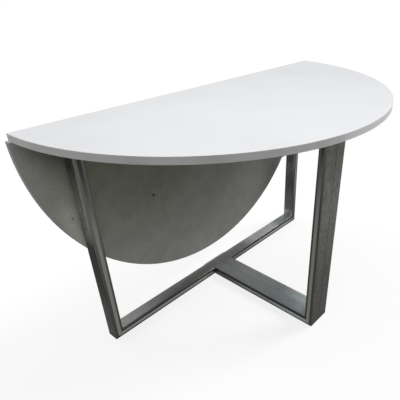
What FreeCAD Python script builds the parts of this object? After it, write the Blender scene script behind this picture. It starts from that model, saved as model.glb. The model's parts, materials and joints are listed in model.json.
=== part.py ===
import FreeCAD, Part
import os

# Folding console table: a half-round top on a T-shaped steel base, with a second
# half-round board hinged to its straight edge. The board hangs behind the base and
# swings up to make the top a full circle, where two pull-out bearers carry it.
#
# All sizes are in millimetres. While modelling, the straight edge of the fixed top
# lies on y = 0 with its middle on x = 0, the front is towards -Y, and the floor is
# z = 0. The finished pieces are shifted so that the origin is on the floor under the
# middle of the table's plan.

Vec = FreeCAD.Vector
X_AXIS = Vec(1, 0, 0)
Y_AXIS = Vec(0, 1, 0)
Z_AXIS = Vec(0, 0, 1)
CENTRE = Vec(0, 0, 0)

# Boards
TOP_RADIUS = 625.0
TOP_HEIGHT = 733.0
CORE_THICKNESS = 18.0
LAMINATE_THICKNESS = 0.5
BAND_THICKNESS = 1.0
BAND_ROUNDING = 0.6
JOINT_GAP = 1.0

# Steel frames of box tube
TUBE_WIDTH = 50.0
TUBE_HEIGHT = 30.0
TUBE_WALL = 3.0
TUBE_ROUNDING = 6.0
RIM_SETBACK = 108.0
REAR_SETBACK = 18.5
FRAME_SEAM = 0.1

# Glides under the floor bars
GLIDE_THICKNESS = 3.0
GLIDE_RADIUS = 14.0
GLIDE_PEG_RADIUS = 4.0
GLIDE_PEG_LENGTH = 12.0
GLIDE_END_SETBACK = 35.0
GLIDE_INNER_X = 80.0

# Spacers and screws between the rails and the fixed top
SPACER_THICKNESS = 6.0
SPACER_RADIUS = 15.0
MOUNT_SCREW_RADIUS = 2.5
MOUNT_SCREW_LENGTH = 22.0
MOUNT_HEAD_RADIUS = 5.0
MOUNT_HEAD_HEIGHT = 3.5
ACCESS_HOLE_RADIUS = 7.0
MOUNT_INNER_X = 140.0
MOUNT_END_SETBACK = 52.0

# Plates that join the two frames
PLATE_THICKNESS = 4.0
REAR_PLATE_LENGTH = 120.0
REAR_PLATE_HEIGHT = 22.0
REAR_PLATE_SCREWS_X = (-48.0, -20.0, 20.0, 48.0)
STEM_PLATE_WIDTH = 80.0
STEM_PLATE_LENGTH = 60.0
STEM_PLATE_END_SETBACK = 136.0
STEM_PLATE_SCREW_PITCH = 30.0
PLATE_ROUNDING = 4.0
BUTTON_RADIUS = 5.25
BUTTON_HEIGHT = 3.0
BUTTON_SHANK_RADIUS = 3.0
BUTTON_SHANK_LENGTH = 12.0
SOCKET_RADIUS = 2.0
SOCKET_DEPTH = 1.6

# Drop-leaf hinges
HINGE_DROP = 6.5
HINGE_MOUNT_PITCH = 55.0
HINGE_LENGTH = 72.0
KNUCKLE_COUNT = 5
KNUCKLE_RADIUS = 4.5
KNUCKLE_GAP = 0.3
HINGE_PLATE_THICKNESS = 2.0
HINGE_PLATE_DEPTH = 38.0
HINGE_PLATE_ROUNDING = 5.0
PIN_RADIUS = 2.5
PIN_OVERHANG = 1.0
PIN_CLEARANCE = 0.05
HINGE_SCREW_X = (-24.0, 24.0)
HINGE_SCREW_OFFSETS = (15.0, 34.0)
WOOD_SCREW_HEAD_RADIUS = 3.6
WOOD_SCREW_SHANK_RADIUS = 1.8
HINGE_SCREW_LENGTH = 15.0

# Pull-out bearers
BEARER_X = 240.0
BEARER_WIDTH = 40.0
BEARER_THICKNESS = 5.0
BEARER_TOP_CLEARANCE = 0.5
BEARER_TIP_Y = -2.0
BEARER_RIM_SETBACK = 83.0
BEARER_TIP_ROUNDING = 10.0
KNOB_FROM_END = 22.0
KNOB_RADIUS = 11.0
KNOB_HEIGHT = 12.0
KNOB_ROUNDING = 3.0
KNOB_NECK_RADIUS = 6.0
KNOB_NECK_HEIGHT = 4.0
GUIDE_RAIL_CLEARANCE = 6.5
GUIDE_PITCH = 105.0
GUIDE_DEPTH = 20.0
GUIDE_WIDTH = 64.0
GUIDE_HEIGHT = 9.0
GUIDE_SLACK = 0.3
GUIDE_SCREW_OFFSET = 26.0
GUIDE_SCREW_LENGTH = 20.0
STOP_WIDTH = 30.0
STOP_DEPTH = 14.0
STOP_SLACK = 1.0

# Studs under the leaf, which drop into holes in the bearers' tips
STUD_FROM_EDGE = 290.0
STUD_RADIUS = 4.0
STUD_HEIGHT = 4.0
STUD_PEG_RADIUS = 2.0
STUD_PEG_LENGTH = 8.0
TIP_HOLE_RADIUS = 4.5
TIP_HOLE_FROM_TIP = 12.0

# Working values
FIT_CLEARANCE = 0.05
BLADE = 3000.0
TOLERANCE = 0.001
LEAF_HANG_ANGLE = -90.0

# Levels and faces that follow from the sizes above
BOARD_THICKNESS = CORE_THICKNESS + 2 * LAMINATE_THICKNESS
UNDERSIDE = TOP_HEIGHT - BOARD_THICKNESS
FRAME_BOTTOM = GLIDE_THICKNESS
FRAME_TOP = UNDERSIDE - SPACER_THICKNESS
ARM_LENGTH = TOP_RADIUS - RIM_SETBACK
REAR_FACE = -REAR_SETBACK
REAR_MIDDLE = REAR_FACE - TUBE_WIDTH / 2
FRONT_FACE = REAR_FACE - ARM_LENGTH
STEM_INNER = FRAME_SEAM / 2
STEM_OUTER = STEM_INNER + TUBE_WIDTH
STEM_MIDDLE = STEM_INNER + TUBE_WIDTH / 2
MOUNT_OUTER_X = ARM_LENGTH - MOUNT_END_SETBACK
MOUNT_STEM_Y = (REAR_FACE - ARM_LENGTH / 2, FRONT_FACE + MOUNT_END_SETBACK)
STEM_PLATE_Y = FRONT_FACE + STEM_PLATE_END_SETBACK
HINGE_OUTER_X = MOUNT_OUTER_X - HINGE_MOUNT_PITCH
HINGE_X = {"left": -HINGE_OUTER_X, "middle": 0.0, "right": HINGE_OUTER_X}
HINGE_Y = JOINT_GAP / 2
HINGE_Z = UNDERSIDE - HINGE_DROP
HINGE_AXIS_POINT = Vec(0, HINGE_Y, HINGE_Z)
BEARER_TOP = UNDERSIDE - BEARER_TOP_CLEARANCE
BEARER_BOTTOM = BEARER_TOP - BEARER_THICKNESS
BEARER_FRONT_Y = BEARER_RIM_SETBACK - TOP_RADIUS
REAR_GUIDE_Y = REAR_FACE - TUBE_WIDTH - GUIDE_RAIL_CLEARANCE - GUIDE_DEPTH
GUIDE_Y = (REAR_GUIDE_Y, REAR_GUIDE_Y - GUIDE_PITCH)
LEAF_REAR_FACE = HINGE_Y + HINGE_DROP + BOARD_THICKNESS
ORIGIN_SHIFT = Vec(0, (TOP_RADIUS - LEAF_REAR_FACE) / 2, 0)

pieces = {}


def box(x0, x1, y0, y1, z0, z1):
    return Part.makeBox(x1 - x0, y1 - y0, z1 - z0, Vec(x0, y0, z0))


def runs_along(edge, axis):
    span = edge.Vertexes[-1].Point - edge.Vertexes[0].Point
    if span.Length < TOLERANCE:
        return False
    return span.cross(axis).Length < TOLERANCE


def rounded_box(x0, x1, y0, y1, z0, z1, axis, radius, square_x=None):
    """A box whose edges along one axis are rounded, apart from those on a face that stays square."""
    bar = box(x0, x1, y0, y1, z0, z1)
    rounded = [edge for edge in bar.Edges if runs_along(edge, axis)]
    if square_x is not None:
        rounded = [edge for edge in rounded if abs(edge.CenterOfMass.x - square_x) > TOLERANCE]
    return bar.makeFillet(radius, rounded)


def box_tube(x0, x1, y0, y1, z0, z1, axis, seam=False):
    """Box tube along one axis, with rounded edges and an even wall. The side at x0 is square at a seam."""
    in_x = TUBE_WALL * (1 - axis.x)
    in_y = TUBE_WALL * (1 - axis.y)
    in_z = TUBE_WALL * (1 - axis.z)
    hollow = (x0 + in_x, x1 - in_x, y0 + in_y, y1 - in_y, z0 + in_z, z1 - in_z)
    outer_seam = x0 if seam else None
    inner_seam = x0 + in_x if seam else None
    outer = rounded_box(x0, x1, y0, y1, z0, z1, axis, TUBE_ROUNDING, outer_seam)
    inner = rounded_box(*hollow, axis, TUBE_ROUNDING - TUBE_WALL, inner_seam)
    return outer.cut(inner)


def cut_beyond(shape, point, normal):
    """Take away what lies beyond a plane, on the side that its normal points to."""
    blade = Part.makeBox(BLADE, BLADE, BLADE, Vec(-BLADE / 2, -BLADE / 2, 0))
    blade.Placement = FreeCAD.Placement(point, FreeCAD.Rotation(Z_AXIS, normal))
    return shape.cut(blade)


def mirror_x(shape):
    return shape.mirror(CENTRE, X_AXIS)


def mirror_y(shape):
    return shape.mirror(CENTRE, Y_AXIS)


def drill(names, cutters):
    """Cut the same holes through several named pieces."""
    for name in names:
        pieces[name] = pieces[name].cut(Part.makeCompound(cutters))


def countersunk(point, direction, length, clearance=0.0):
    """A countersunk wood screw, or with a clearance the hole that it sits in."""
    head = WOOD_SCREW_HEAD_RADIUS + clearance
    shank = WOOD_SCREW_SHANK_RADIUS + clearance
    cone = Part.makeCone(head, shank, head - shank, point, direction)
    return cone.fuse(Part.makeCylinder(shank, length + clearance, point, direction)).removeSplitter()


def button_screw(point, direction):
    """A button-head machine screw seated at a point, with a socket in its head."""
    under_head = point - direction * BUTTON_HEIGHT
    head = Part.makeCylinder(BUTTON_RADIUS, BUTTON_HEIGHT, under_head, direction)
    crown = [edge for edge in head.Edges if abs((edge.CenterOfMass - under_head).dot(direction)) < TOLERANCE]
    head = head.makeFillet(BUTTON_HEIGHT / 2, crown)
    shank = Part.makeCylinder(BUTTON_SHANK_RADIUS, BUTTON_SHANK_LENGTH, point, direction)
    socket = Part.makeCylinder(SOCKET_RADIUS, SOCKET_DEPTH, under_head, direction)
    return head.fuse(shank).removeSplitter().cut(socket)


# Half-round boards. They are drawn with the straight edge on y = 0 and the arc
# towards +Y, which is how the leaf lies when it is up.


def segment(radius, y_min, z0, z1):
    """The part of a disc beyond a line parallel to its diameter."""
    disc = Part.makeCylinder(radius, z1 - z0, Vec(0, 0, z0))
    return disc.common(box(-TOP_RADIUS, TOP_RADIUS, y_min, TOP_RADIUS, z0, z1))


def half_board():
    core_radius = TOP_RADIUS - BAND_THICKNESS
    core_bottom = UNDERSIDE + LAMINATE_THICKNESS
    core_top = TOP_HEIGHT - LAMINATE_THICKNESS
    ring = segment(TOP_RADIUS, BAND_THICKNESS, UNDERSIDE, TOP_HEIGHT)
    ring = ring.cut(Part.makeCylinder(core_radius, TOP_HEIGHT))
    outer_arcs = [
        edge
        for edge in ring.Edges
        if isinstance(edge.Curve, Part.Circle) and abs(edge.Curve.Radius - TOP_RADIUS) < TOLERANCE
    ]
    strip = box(-TOP_RADIUS, TOP_RADIUS, 0, BAND_THICKNESS, UNDERSIDE, TOP_HEIGHT)
    return {
        "core": segment(core_radius, BAND_THICKNESS, core_bottom, core_top),
        "laminate": segment(core_radius, BAND_THICKNESS, core_top, TOP_HEIGHT),
        "backer": segment(core_radius, BAND_THICKNESS, UNDERSIDE, core_bottom),
        "rim_band": ring.makeFillet(BAND_ROUNDING, outer_arcs),
        "joint_band": segment(TOP_RADIUS, 0, UNDERSIDE, TOP_HEIGHT).common(strip),
    }


for layer, shape in half_board().items():
    pieces["fixed_top_" + layer] = mirror_y(shape)
    raised = shape.copy()
    raised.translate(Vec(0, JOINT_GAP, 0))
    pieces["drop_leaf_" + layer] = raised

FIXED_BOARD = ("fixed_top_backer", "fixed_top_core")
LEAF_BOARD = ("drop_leaf_backer", "drop_leaf_core")

# One L-shaped frame, on the +X side: a rear leg, a front half leg, floor bars that meet
# in a mitre at the middle of the rear face, and top rails above them. Legs, bars and
# rails are mitred into one another. The other frame is its mirror image.


def frame_tubes():
    rear_front = REAR_FACE - TUBE_WIDTH
    floor_top = FRAME_BOTTOM + TUBE_HEIGHT
    rail_bottom = FRAME_TOP - TUBE_HEIGHT
    vee = Vec(STEM_INNER, REAR_FACE, 0)
    rear_foot = Vec(ARM_LENGTH, 0, FRAME_BOTTOM)
    rear_head = Vec(ARM_LENGTH, 0, FRAME_TOP)
    front_foot = Vec(0, FRONT_FACE, FRAME_BOTTOM)
    front_head = Vec(0, FRONT_FACE, FRAME_TOP)

    rear_leg = box_tube(
        ARM_LENGTH - TUBE_HEIGHT, ARM_LENGTH, rear_front, REAR_FACE, FRAME_BOTTOM, FRAME_TOP, Z_AXIS
    )
    rear_leg = cut_beyond(rear_leg, rear_foot, Vec(-1, 0, -1))
    rear_leg = cut_beyond(rear_leg, rear_head, Vec(-1, 0, 1))

    front_back = FRONT_FACE + TUBE_HEIGHT
    front_leg = box_tube(
        STEM_INNER, STEM_OUTER, FRONT_FACE, front_back, FRAME_BOTTOM, FRAME_TOP, Z_AXIS, seam=True
    )
    front_leg = cut_beyond(front_leg, front_foot, Vec(0, 1, -1))
    front_leg = cut_beyond(front_leg, front_head, Vec(0, 1, 1))

    rear_floor_bar = box_tube(
        STEM_INNER, ARM_LENGTH, rear_front, REAR_FACE, FRAME_BOTTOM, floor_top, X_AXIS
    )
    rear_floor_bar = cut_beyond(rear_floor_bar, rear_foot, Vec(1, 0, 1))
    rear_floor_bar = cut_beyond(rear_floor_bar, vee, Vec(-1, -1, 0))

    stem_floor_bar = box_tube(
        STEM_INNER, STEM_OUTER, FRONT_FACE, REAR_FACE, FRAME_BOTTOM, floor_top, Y_AXIS, seam=True
    )
    stem_floor_bar = cut_beyond(stem_floor_bar, front_foot, Vec(0, -1, 1))
    stem_floor_bar = cut_beyond(stem_floor_bar, vee, Vec(1, 1, 0))

    rear_top_rail = box_tube(STEM_INNER, ARM_LENGTH, rear_front, REAR_FACE, rail_bottom, FRAME_TOP, X_AXIS)
    rear_top_rail = cut_beyond(rear_top_rail, rear_head, Vec(1, 0, -1))
    rear_top_rail = cut_beyond(rear_top_rail, vee, Vec(-1, -1, 0))

    stem_top_rail = box_tube(
        STEM_INNER, STEM_OUTER, FRONT_FACE, REAR_FACE, rail_bottom, FRAME_TOP, Y_AXIS, seam=True
    )
    stem_top_rail = cut_beyond(stem_top_rail, front_head, Vec(0, -1, -1))
    stem_top_rail = cut_beyond(stem_top_rail, vee, Vec(1, 1, 0))

    return {
        "rear_leg": rear_leg,
        "front_leg": front_leg,
        "rear_floor_bar": rear_floor_bar,
        "stem_floor_bar": stem_floor_bar,
        "rear_top_rail": rear_top_rail,
        "stem_top_rail": stem_top_rail,
    }


# Glides press into the underside of the floor bars.

right = frame_tubes()
glide_spots = {
    "rear_floor_bar": [
        Vec(ARM_LENGTH - GLIDE_END_SETBACK, REAR_MIDDLE, 0),
        Vec(GLIDE_INNER_X, REAR_MIDDLE, 0),
    ],
    "stem_floor_bar": [Vec(STEM_MIDDLE, FRONT_FACE + GLIDE_END_SETBACK, 0)],
}
glides = []
for bar, spots in glide_spots.items():
    for spot in spots:
        pad = Part.makeCylinder(GLIDE_RADIUS, GLIDE_THICKNESS, spot)
        peg = Part.makeCylinder(GLIDE_PEG_RADIUS, GLIDE_PEG_LENGTH, spot)
        glides.append(pad.fuse(peg).removeSplitter())
        hole = Part.makeCylinder(GLIDE_PEG_RADIUS + FIT_CLEARANCE, GLIDE_PEG_LENGTH + TUBE_WALL, spot)
        right[bar] = right[bar].cut(hole)

# The fixed top stands on spacers. Each screw goes in through an access hole in the
# bottom of a rail, passes the rail's upper wall and the spacer, and bites into the core.

mount_spots = {
    "rear_top_rail": [(MOUNT_INNER_X, REAR_MIDDLE), (MOUNT_OUTER_X, REAR_MIDDLE)],
    "stem_top_rail": [(STEM_MIDDLE, y) for y in MOUNT_STEM_Y],
}
screw_hole = MOUNT_SCREW_RADIUS + FIT_CLEARANCE
seat_level = FRAME_TOP - TUBE_WALL
spacers = []
mount_screws = []
for rail, spots in mount_spots.items():
    for x, y in spots:
        seat = Vec(x, y, seat_level)
        shank = Part.makeCylinder(MOUNT_SCREW_RADIUS, MOUNT_SCREW_LENGTH, seat)
        head = Part.makeCylinder(MOUNT_HEAD_RADIUS, MOUNT_HEAD_HEIGHT, seat - Z_AXIS * MOUNT_HEAD_HEIGHT)
        mount_screws.append(head.fuse(shank).removeSplitter())
        bore = Part.makeCylinder(screw_hole, MOUNT_SCREW_LENGTH + FIT_CLEARANCE, seat)
        disc = Part.makeCylinder(SPACER_RADIUS, SPACER_THICKNESS, Vec(x, y, FRAME_TOP))
        spacers.append(disc.cut(bore))
        access = Part.makeCylinder(ACCESS_HOLE_RADIUS, TUBE_HEIGHT / 2, Vec(x, y, FRAME_TOP - TUBE_HEIGHT))
        right[rail] = right[rail].cut(bore).cut(access)
        drill(FIXED_BOARD, [bore, mirror_x(bore)])

# Plates that hold the two frames together: two across the rear faces at the mitres,
# and one under the stem's rails.

rear_plate_levels = {
    "lower_joining_plate": FRAME_BOTTOM + TUBE_HEIGHT / 2,
    "upper_joining_plate": FRAME_TOP - TUBE_HEIGHT / 2,
}
joining_screws = []
shank_hole = BUTTON_SHANK_RADIUS + FIT_CLEARANCE
shank_reach = PLATE_THICKNESS + BUTTON_SHANK_LENGTH
for name, level in rear_plate_levels.items():
    plate = rounded_box(
        -REAR_PLATE_LENGTH / 2,
        REAR_PLATE_LENGTH / 2,
        REAR_FACE,
        REAR_FACE + PLATE_THICKNESS,
        level - REAR_PLATE_HEIGHT / 2,
        level + REAR_PLATE_HEIGHT / 2,
        Y_AXIS,
        PLATE_ROUNDING,
    )
    bar = "rear_floor_bar" if name == "lower_joining_plate" else "rear_top_rail"
    for x in REAR_PLATE_SCREWS_X:
        seat = Vec(x, REAR_FACE + PLATE_THICKNESS, level)
        joining_screws.append(button_screw(seat, -Y_AXIS))
        hole = Part.makeCylinder(shank_hole, shank_reach, seat, -Y_AXIS)
        plate = plate.cut(hole)
        if x > 0:
            right[bar] = right[bar].cut(hole)
    pieces[name] = plate

plate = rounded_box(
    -STEM_PLATE_WIDTH / 2,
    STEM_PLATE_WIDTH / 2,
    STEM_PLATE_Y - STEM_PLATE_LENGTH / 2,
    STEM_PLATE_Y + STEM_PLATE_LENGTH / 2,
    FRAME_TOP - TUBE_HEIGHT - PLATE_THICKNESS,
    FRAME_TOP - TUBE_HEIGHT,
    Z_AXIS,
    PLATE_ROUNDING,
)
for x in (-STEM_MIDDLE, STEM_MIDDLE):
    for y in (STEM_PLATE_Y - STEM_PLATE_SCREW_PITCH / 2, STEM_PLATE_Y + STEM_PLATE_SCREW_PITCH / 2):
        seat = Vec(x, y, FRAME_TOP - TUBE_HEIGHT - PLATE_THICKNESS)
        joining_screws.append(button_screw(seat, Z_AXIS))
        hole = Part.makeCylinder(shank_hole, shank_reach, seat, Z_AXIS)
        plate = plate.cut(hole)
        if x > 0:
            right["stem_top_rail"] = right["stem_top_rail"].cut(hole)
pieces["stem_joining_plate"] = plate
pieces["joining_screws"] = Part.makeCompound(joining_screws)

for name, tube in right.items():
    pieces["right_" + name] = tube
    pieces["left_" + name] = mirror_x(tube)
pieces["right_glides"] = Part.makeCompound(glides)
pieces["left_glides"] = Part.makeCompound([mirror_x(glide) for glide in glides])
pieces["right_top_spacers"] = Part.makeCompound(spacers)
pieces["left_top_spacers"] = Part.makeCompound([mirror_x(spacer) for spacer in spacers])
pieces["top_mounting_screws"] = Part.makeCompound(
    mount_screws + [mirror_x(screw) for screw in mount_screws]
)

# Drop-leaf hinges, drawn with the leaf up. Each plate lies on the underside of its board
# and has a flange that turns down to its knuckles. The pin is tight in the fixed plate
# and runs free in the leaf plate.


def hinge_plate(x_middle, side, knuckles, bore_radius):
    inner = HINGE_Y + side * KNUCKLE_RADIUS
    outer = inner + side * HINGE_PLATE_DEPTH
    plate = rounded_box(
        x_middle - HINGE_LENGTH / 2,
        x_middle + HINGE_LENGTH / 2,
        min(inner, outer),
        max(inner, outer),
        UNDERSIDE - HINGE_PLATE_THICKNESS,
        UNDERSIDE,
        Z_AXIS,
        HINGE_PLATE_ROUNDING,
    )
    root = inner + side * HINGE_PLATE_ROUNDING
    pitch = HINGE_LENGTH / KNUCKLE_COUNT
    for index in knuckles:
        x0 = x_middle - HINGE_LENGTH / 2 + index * pitch + KNUCKLE_GAP / 2
        x1 = x0 + pitch - KNUCKLE_GAP
        web = inner - side * HINGE_PLATE_THICKNESS
        barrel = Part.makeCylinder(KNUCKLE_RADIUS, x1 - x0, Vec(x0, HINGE_Y, HINGE_Z), X_AXIS)
        flange = box(x0, x1, min(web, inner), max(web, inner), HINGE_Z, UNDERSIDE)
        tongue = box(x0, x1, min(inner, root), max(inner, root), UNDERSIDE - HINGE_PLATE_THICKNESS, UNDERSIDE)
        plate = plate.fuse([barrel, flange, tongue])
    bore = Part.makeCylinder(
        bore_radius, 2 * HINGE_LENGTH, Vec(x_middle - HINGE_LENGTH, HINGE_Y, HINGE_Z), X_AXIS
    )
    return plate.removeSplitter().cut(bore)


fixed_knuckles = range(0, KNUCKLE_COUNT, 2)
leaf_knuckles = range(1, KNUCKLE_COUNT, 2)
fixed_screws = []
leaf_screws = []
for place, x_middle in HINGE_X.items():
    fixed_name = place + "_hinge_fixed_plate"
    leaf_name = place + "_hinge_leaf_plate"
    pieces[fixed_name] = hinge_plate(x_middle, -1, fixed_knuckles, PIN_RADIUS)
    pieces[leaf_name] = hinge_plate(x_middle, 1, leaf_knuckles, PIN_RADIUS + PIN_CLEARANCE)
    pin_start = Vec(x_middle - HINGE_LENGTH / 2 - PIN_OVERHANG, HINGE_Y, HINGE_Z)
    pin = Part.makeCylinder(PIN_RADIUS, HINGE_LENGTH + 2 * PIN_OVERHANG, pin_start, X_AXIS)
    pieces[place + "_hinge_pin"] = pin
    for x in HINGE_SCREW_X:
        for offset in HINGE_SCREW_OFFSETS:
            for side, plate_name, board, screws in (
                (-1, fixed_name, FIXED_BOARD, fixed_screws),
                (1, leaf_name, LEAF_BOARD, leaf_screws),
            ):
                head_at = Vec(x_middle + x, HINGE_Y + side * offset, UNDERSIDE - HINGE_PLATE_THICKNESS)
                screws.append(countersunk(head_at, Z_AXIS, HINGE_SCREW_LENGTH))
                hole = countersunk(head_at, Z_AXIS, HINGE_SCREW_LENGTH, FIT_CLEARANCE)
                drill((plate_name,) + board, [hole])
pieces["fixed_plate_screws"] = Part.makeCompound(fixed_screws)
pieces["leaf_plate_screws"] = Part.makeCompound(leaf_screws)

# Bearers: flat bars that slide in nylon guides under the fixed top, over the rear rails
# and above the upper edge of the hanging leaf. Each has a knob below its front end and
# a hole near its tip for the leaf's locating stud.

bearer = rounded_box(
    BEARER_X - BEARER_WIDTH / 2,
    BEARER_X + BEARER_WIDTH / 2,
    BEARER_FRONT_Y,
    BEARER_TIP_Y,
    BEARER_BOTTOM,
    BEARER_TOP,
    Z_AXIS,
    BEARER_TIP_ROUNDING,
)
knob_y = BEARER_FRONT_Y + KNOB_FROM_END
neck_bottom = BEARER_BOTTOM - KNOB_NECK_HEIGHT
knob = Part.makeCylinder(KNOB_RADIUS, KNOB_HEIGHT, Vec(BEARER_X, knob_y, neck_bottom - KNOB_HEIGHT))
knob = knob.makeFillet(KNOB_ROUNDING, [edge for edge in knob.Edges if isinstance(edge.Curve, Part.Circle)])
neck = Part.makeCylinder(KNOB_NECK_RADIUS, KNOB_NECK_HEIGHT, Vec(BEARER_X, knob_y, neck_bottom))
stud = Part.makeCylinder(MOUNT_SCREW_RADIUS, BEARER_THICKNESS, Vec(BEARER_X, knob_y, BEARER_BOTTOM))
stud_hole = Part.makeCylinder(screw_hole, BEARER_THICKNESS, Vec(BEARER_X, knob_y, BEARER_BOTTOM))
tip_hole_at = Vec(BEARER_X, BEARER_TIP_Y - TIP_HOLE_FROM_TIP, BEARER_BOTTOM)
tip_hole = Part.makeCylinder(TIP_HOLE_RADIUS, BEARER_THICKNESS, tip_hole_at)
knob = knob.fuse([neck, stud]).removeSplitter()
bearer = bearer.cut([stud_hole, tip_hole])

guides = []
guide_screws = []
guide_bottom = UNDERSIDE - GUIDE_HEIGHT
for y in GUIDE_Y:
    guide = box(
        BEARER_X - GUIDE_WIDTH / 2,
        BEARER_X + GUIDE_WIDTH / 2,
        y,
        y + GUIDE_DEPTH,
        guide_bottom,
        UNDERSIDE,
    )
    slot = box(
        BEARER_X - BEARER_WIDTH / 2 - GUIDE_SLACK,
        BEARER_X + BEARER_WIDTH / 2 + GUIDE_SLACK,
        y,
        y + GUIDE_DEPTH,
        BEARER_BOTTOM - GUIDE_SLACK,
        UNDERSIDE,
    )
    guide = guide.cut(slot)
    for x in (BEARER_X - GUIDE_SCREW_OFFSET, BEARER_X + GUIDE_SCREW_OFFSET):
        head_at = Vec(x, y + GUIDE_DEPTH / 2, guide_bottom)
        guide_screws.append(countersunk(head_at, Z_AXIS, GUIDE_SCREW_LENGTH))
        hole = countersunk(head_at, Z_AXIS, GUIDE_SCREW_LENGTH, FIT_CLEARANCE)
        guide = guide.cut(hole)
        drill(FIXED_BOARD, [hole, mirror_x(hole)])
    guides.append(guide)

stop_back = BEARER_FRONT_Y - STOP_SLACK
stop = box(
    BEARER_X - STOP_WIDTH / 2,
    BEARER_X + STOP_WIDTH / 2,
    stop_back - STOP_DEPTH,
    stop_back,
    guide_bottom,
    UNDERSIDE,
)
stop_screw_at = Vec(BEARER_X, stop_back - STOP_DEPTH / 2, guide_bottom)
guide_screws.append(countersunk(stop_screw_at, Z_AXIS, GUIDE_SCREW_LENGTH))
stop_hole = countersunk(stop_screw_at, Z_AXIS, GUIDE_SCREW_LENGTH, FIT_CLEARANCE)
stop = stop.cut(stop_hole)
drill(FIXED_BOARD, [stop_hole, mirror_x(stop_hole)])

pieces["right_bearer"] = bearer
pieces["left_bearer"] = mirror_x(bearer)
pieces["right_bearer_knob"] = knob
pieces["left_bearer_knob"] = mirror_x(knob)
pieces["right_bearer_guides"] = Part.makeCompound(guides)
pieces["left_bearer_guides"] = Part.makeCompound([mirror_x(guide) for guide in guides])
pieces["right_bearer_stop"] = stop
pieces["left_bearer_stop"] = mirror_x(stop)
pieces["guide_screws"] = Part.makeCompound(guide_screws + [mirror_x(screw) for screw in guide_screws])

# Locating studs pegged into the underside of the leaf.

leaf_studs = []
for x in (-BEARER_X, BEARER_X):
    spot = Vec(x, JOINT_GAP + STUD_FROM_EDGE, UNDERSIDE)
    cap = Part.makeCylinder(STUD_RADIUS, STUD_HEIGHT, spot - Z_AXIS * STUD_HEIGHT)
    peg = Part.makeCylinder(STUD_PEG_RADIUS, STUD_PEG_LENGTH, spot)
    leaf_studs.append(cap.fuse(peg).removeSplitter())
    drill(LEAF_BOARD, [Part.makeCylinder(STUD_PEG_RADIUS + FIT_CLEARANCE, STUD_PEG_LENGTH, spot)])
pieces["leaf_locating_studs"] = Part.makeCompound(leaf_studs)

# The leaf and what is fixed to it swing down about the hinge pins to hang.

leaf_pieces = [name for name in pieces if name.startswith("drop_leaf_")]
leaf_pieces += [place + "_hinge_leaf_plate" for place in HINGE_X]
leaf_pieces += ["leaf_plate_screws", "leaf_locating_studs"]
for name in leaf_pieces:
    pieces[name].rotate(HINGE_AXIS_POINT, X_AXIS, LEAF_HANG_ANGLE)

os.makedirs("parts", exist_ok=True)
for name, shape in pieces.items():
    placed = shape.copy()
    placed.translate(ORIGIN_SHIFT)
    placed.exportStep("parts/" + name + ".step")
print(len(pieces), "pieces")
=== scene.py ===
# %% [markdown]
# # A folding console table
#
# The table is a white half-round top on a T-shaped base of steel box tube. A second
# half-round board, the leaf, hangs behind it on hinges. Swung up, it makes the top round,
# and two flat bars pull out under it to carry it.
#
# The solids come from CAD and already have their true sizes and joints. This lesson gives
# them their finishes, makes the screws and knobs in detail, and lights and photographs the
# table.

# %% Load the solids
import json
import math

import bpy
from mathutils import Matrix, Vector


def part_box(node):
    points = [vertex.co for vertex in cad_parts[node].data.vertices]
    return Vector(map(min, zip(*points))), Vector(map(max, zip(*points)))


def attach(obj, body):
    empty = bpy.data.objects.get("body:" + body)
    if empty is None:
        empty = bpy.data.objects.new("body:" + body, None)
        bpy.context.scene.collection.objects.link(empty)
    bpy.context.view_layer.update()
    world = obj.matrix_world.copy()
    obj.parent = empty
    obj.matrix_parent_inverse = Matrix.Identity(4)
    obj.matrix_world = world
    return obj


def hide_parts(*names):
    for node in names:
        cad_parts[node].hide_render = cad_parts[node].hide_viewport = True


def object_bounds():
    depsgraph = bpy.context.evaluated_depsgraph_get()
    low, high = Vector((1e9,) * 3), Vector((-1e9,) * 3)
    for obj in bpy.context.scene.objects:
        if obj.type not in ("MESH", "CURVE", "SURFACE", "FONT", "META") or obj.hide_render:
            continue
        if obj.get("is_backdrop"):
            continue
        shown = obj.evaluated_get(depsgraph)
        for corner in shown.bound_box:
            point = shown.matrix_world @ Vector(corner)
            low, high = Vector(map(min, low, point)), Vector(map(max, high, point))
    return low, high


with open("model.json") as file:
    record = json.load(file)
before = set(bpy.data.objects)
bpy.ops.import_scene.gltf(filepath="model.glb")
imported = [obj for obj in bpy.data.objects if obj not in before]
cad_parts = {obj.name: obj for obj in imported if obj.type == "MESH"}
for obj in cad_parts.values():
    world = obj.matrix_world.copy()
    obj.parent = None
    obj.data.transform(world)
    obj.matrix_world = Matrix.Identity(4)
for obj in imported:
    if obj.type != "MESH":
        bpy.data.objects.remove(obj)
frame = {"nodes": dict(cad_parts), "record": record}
cad_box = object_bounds()
nodes = frame["nodes"]
scene = bpy.context.scene
MM = 0.001
print(len(nodes), "solids, whole box", [[round(v, 3) for v in corner] for corner in cad_box])

# %% [markdown]
# ## The camera
#
# The picture is taken from the front left, from a little above the top. A camera can be
# placed by eye, but straight edges and the round rim fix it better: the place, the turn and
# the lens below put the model's corners where the picture has them. The shift is there
# because the picture is a crop, whose middle is not the middle of the lens.

# %% Place the camera
CAMERA_PLACE = (-0.96589, -0.75011, 1.05129)
CAMERA_TURN_DEG = (58.432, 0.0, -50.151)
CAMERA_LENS_MM = 36.82
CAMERA_SENSOR_MM = 36.0
CAMERA_SHIFT = (-0.13892, 0.06488)
CAMERA_REACH_M = 300.0

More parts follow.
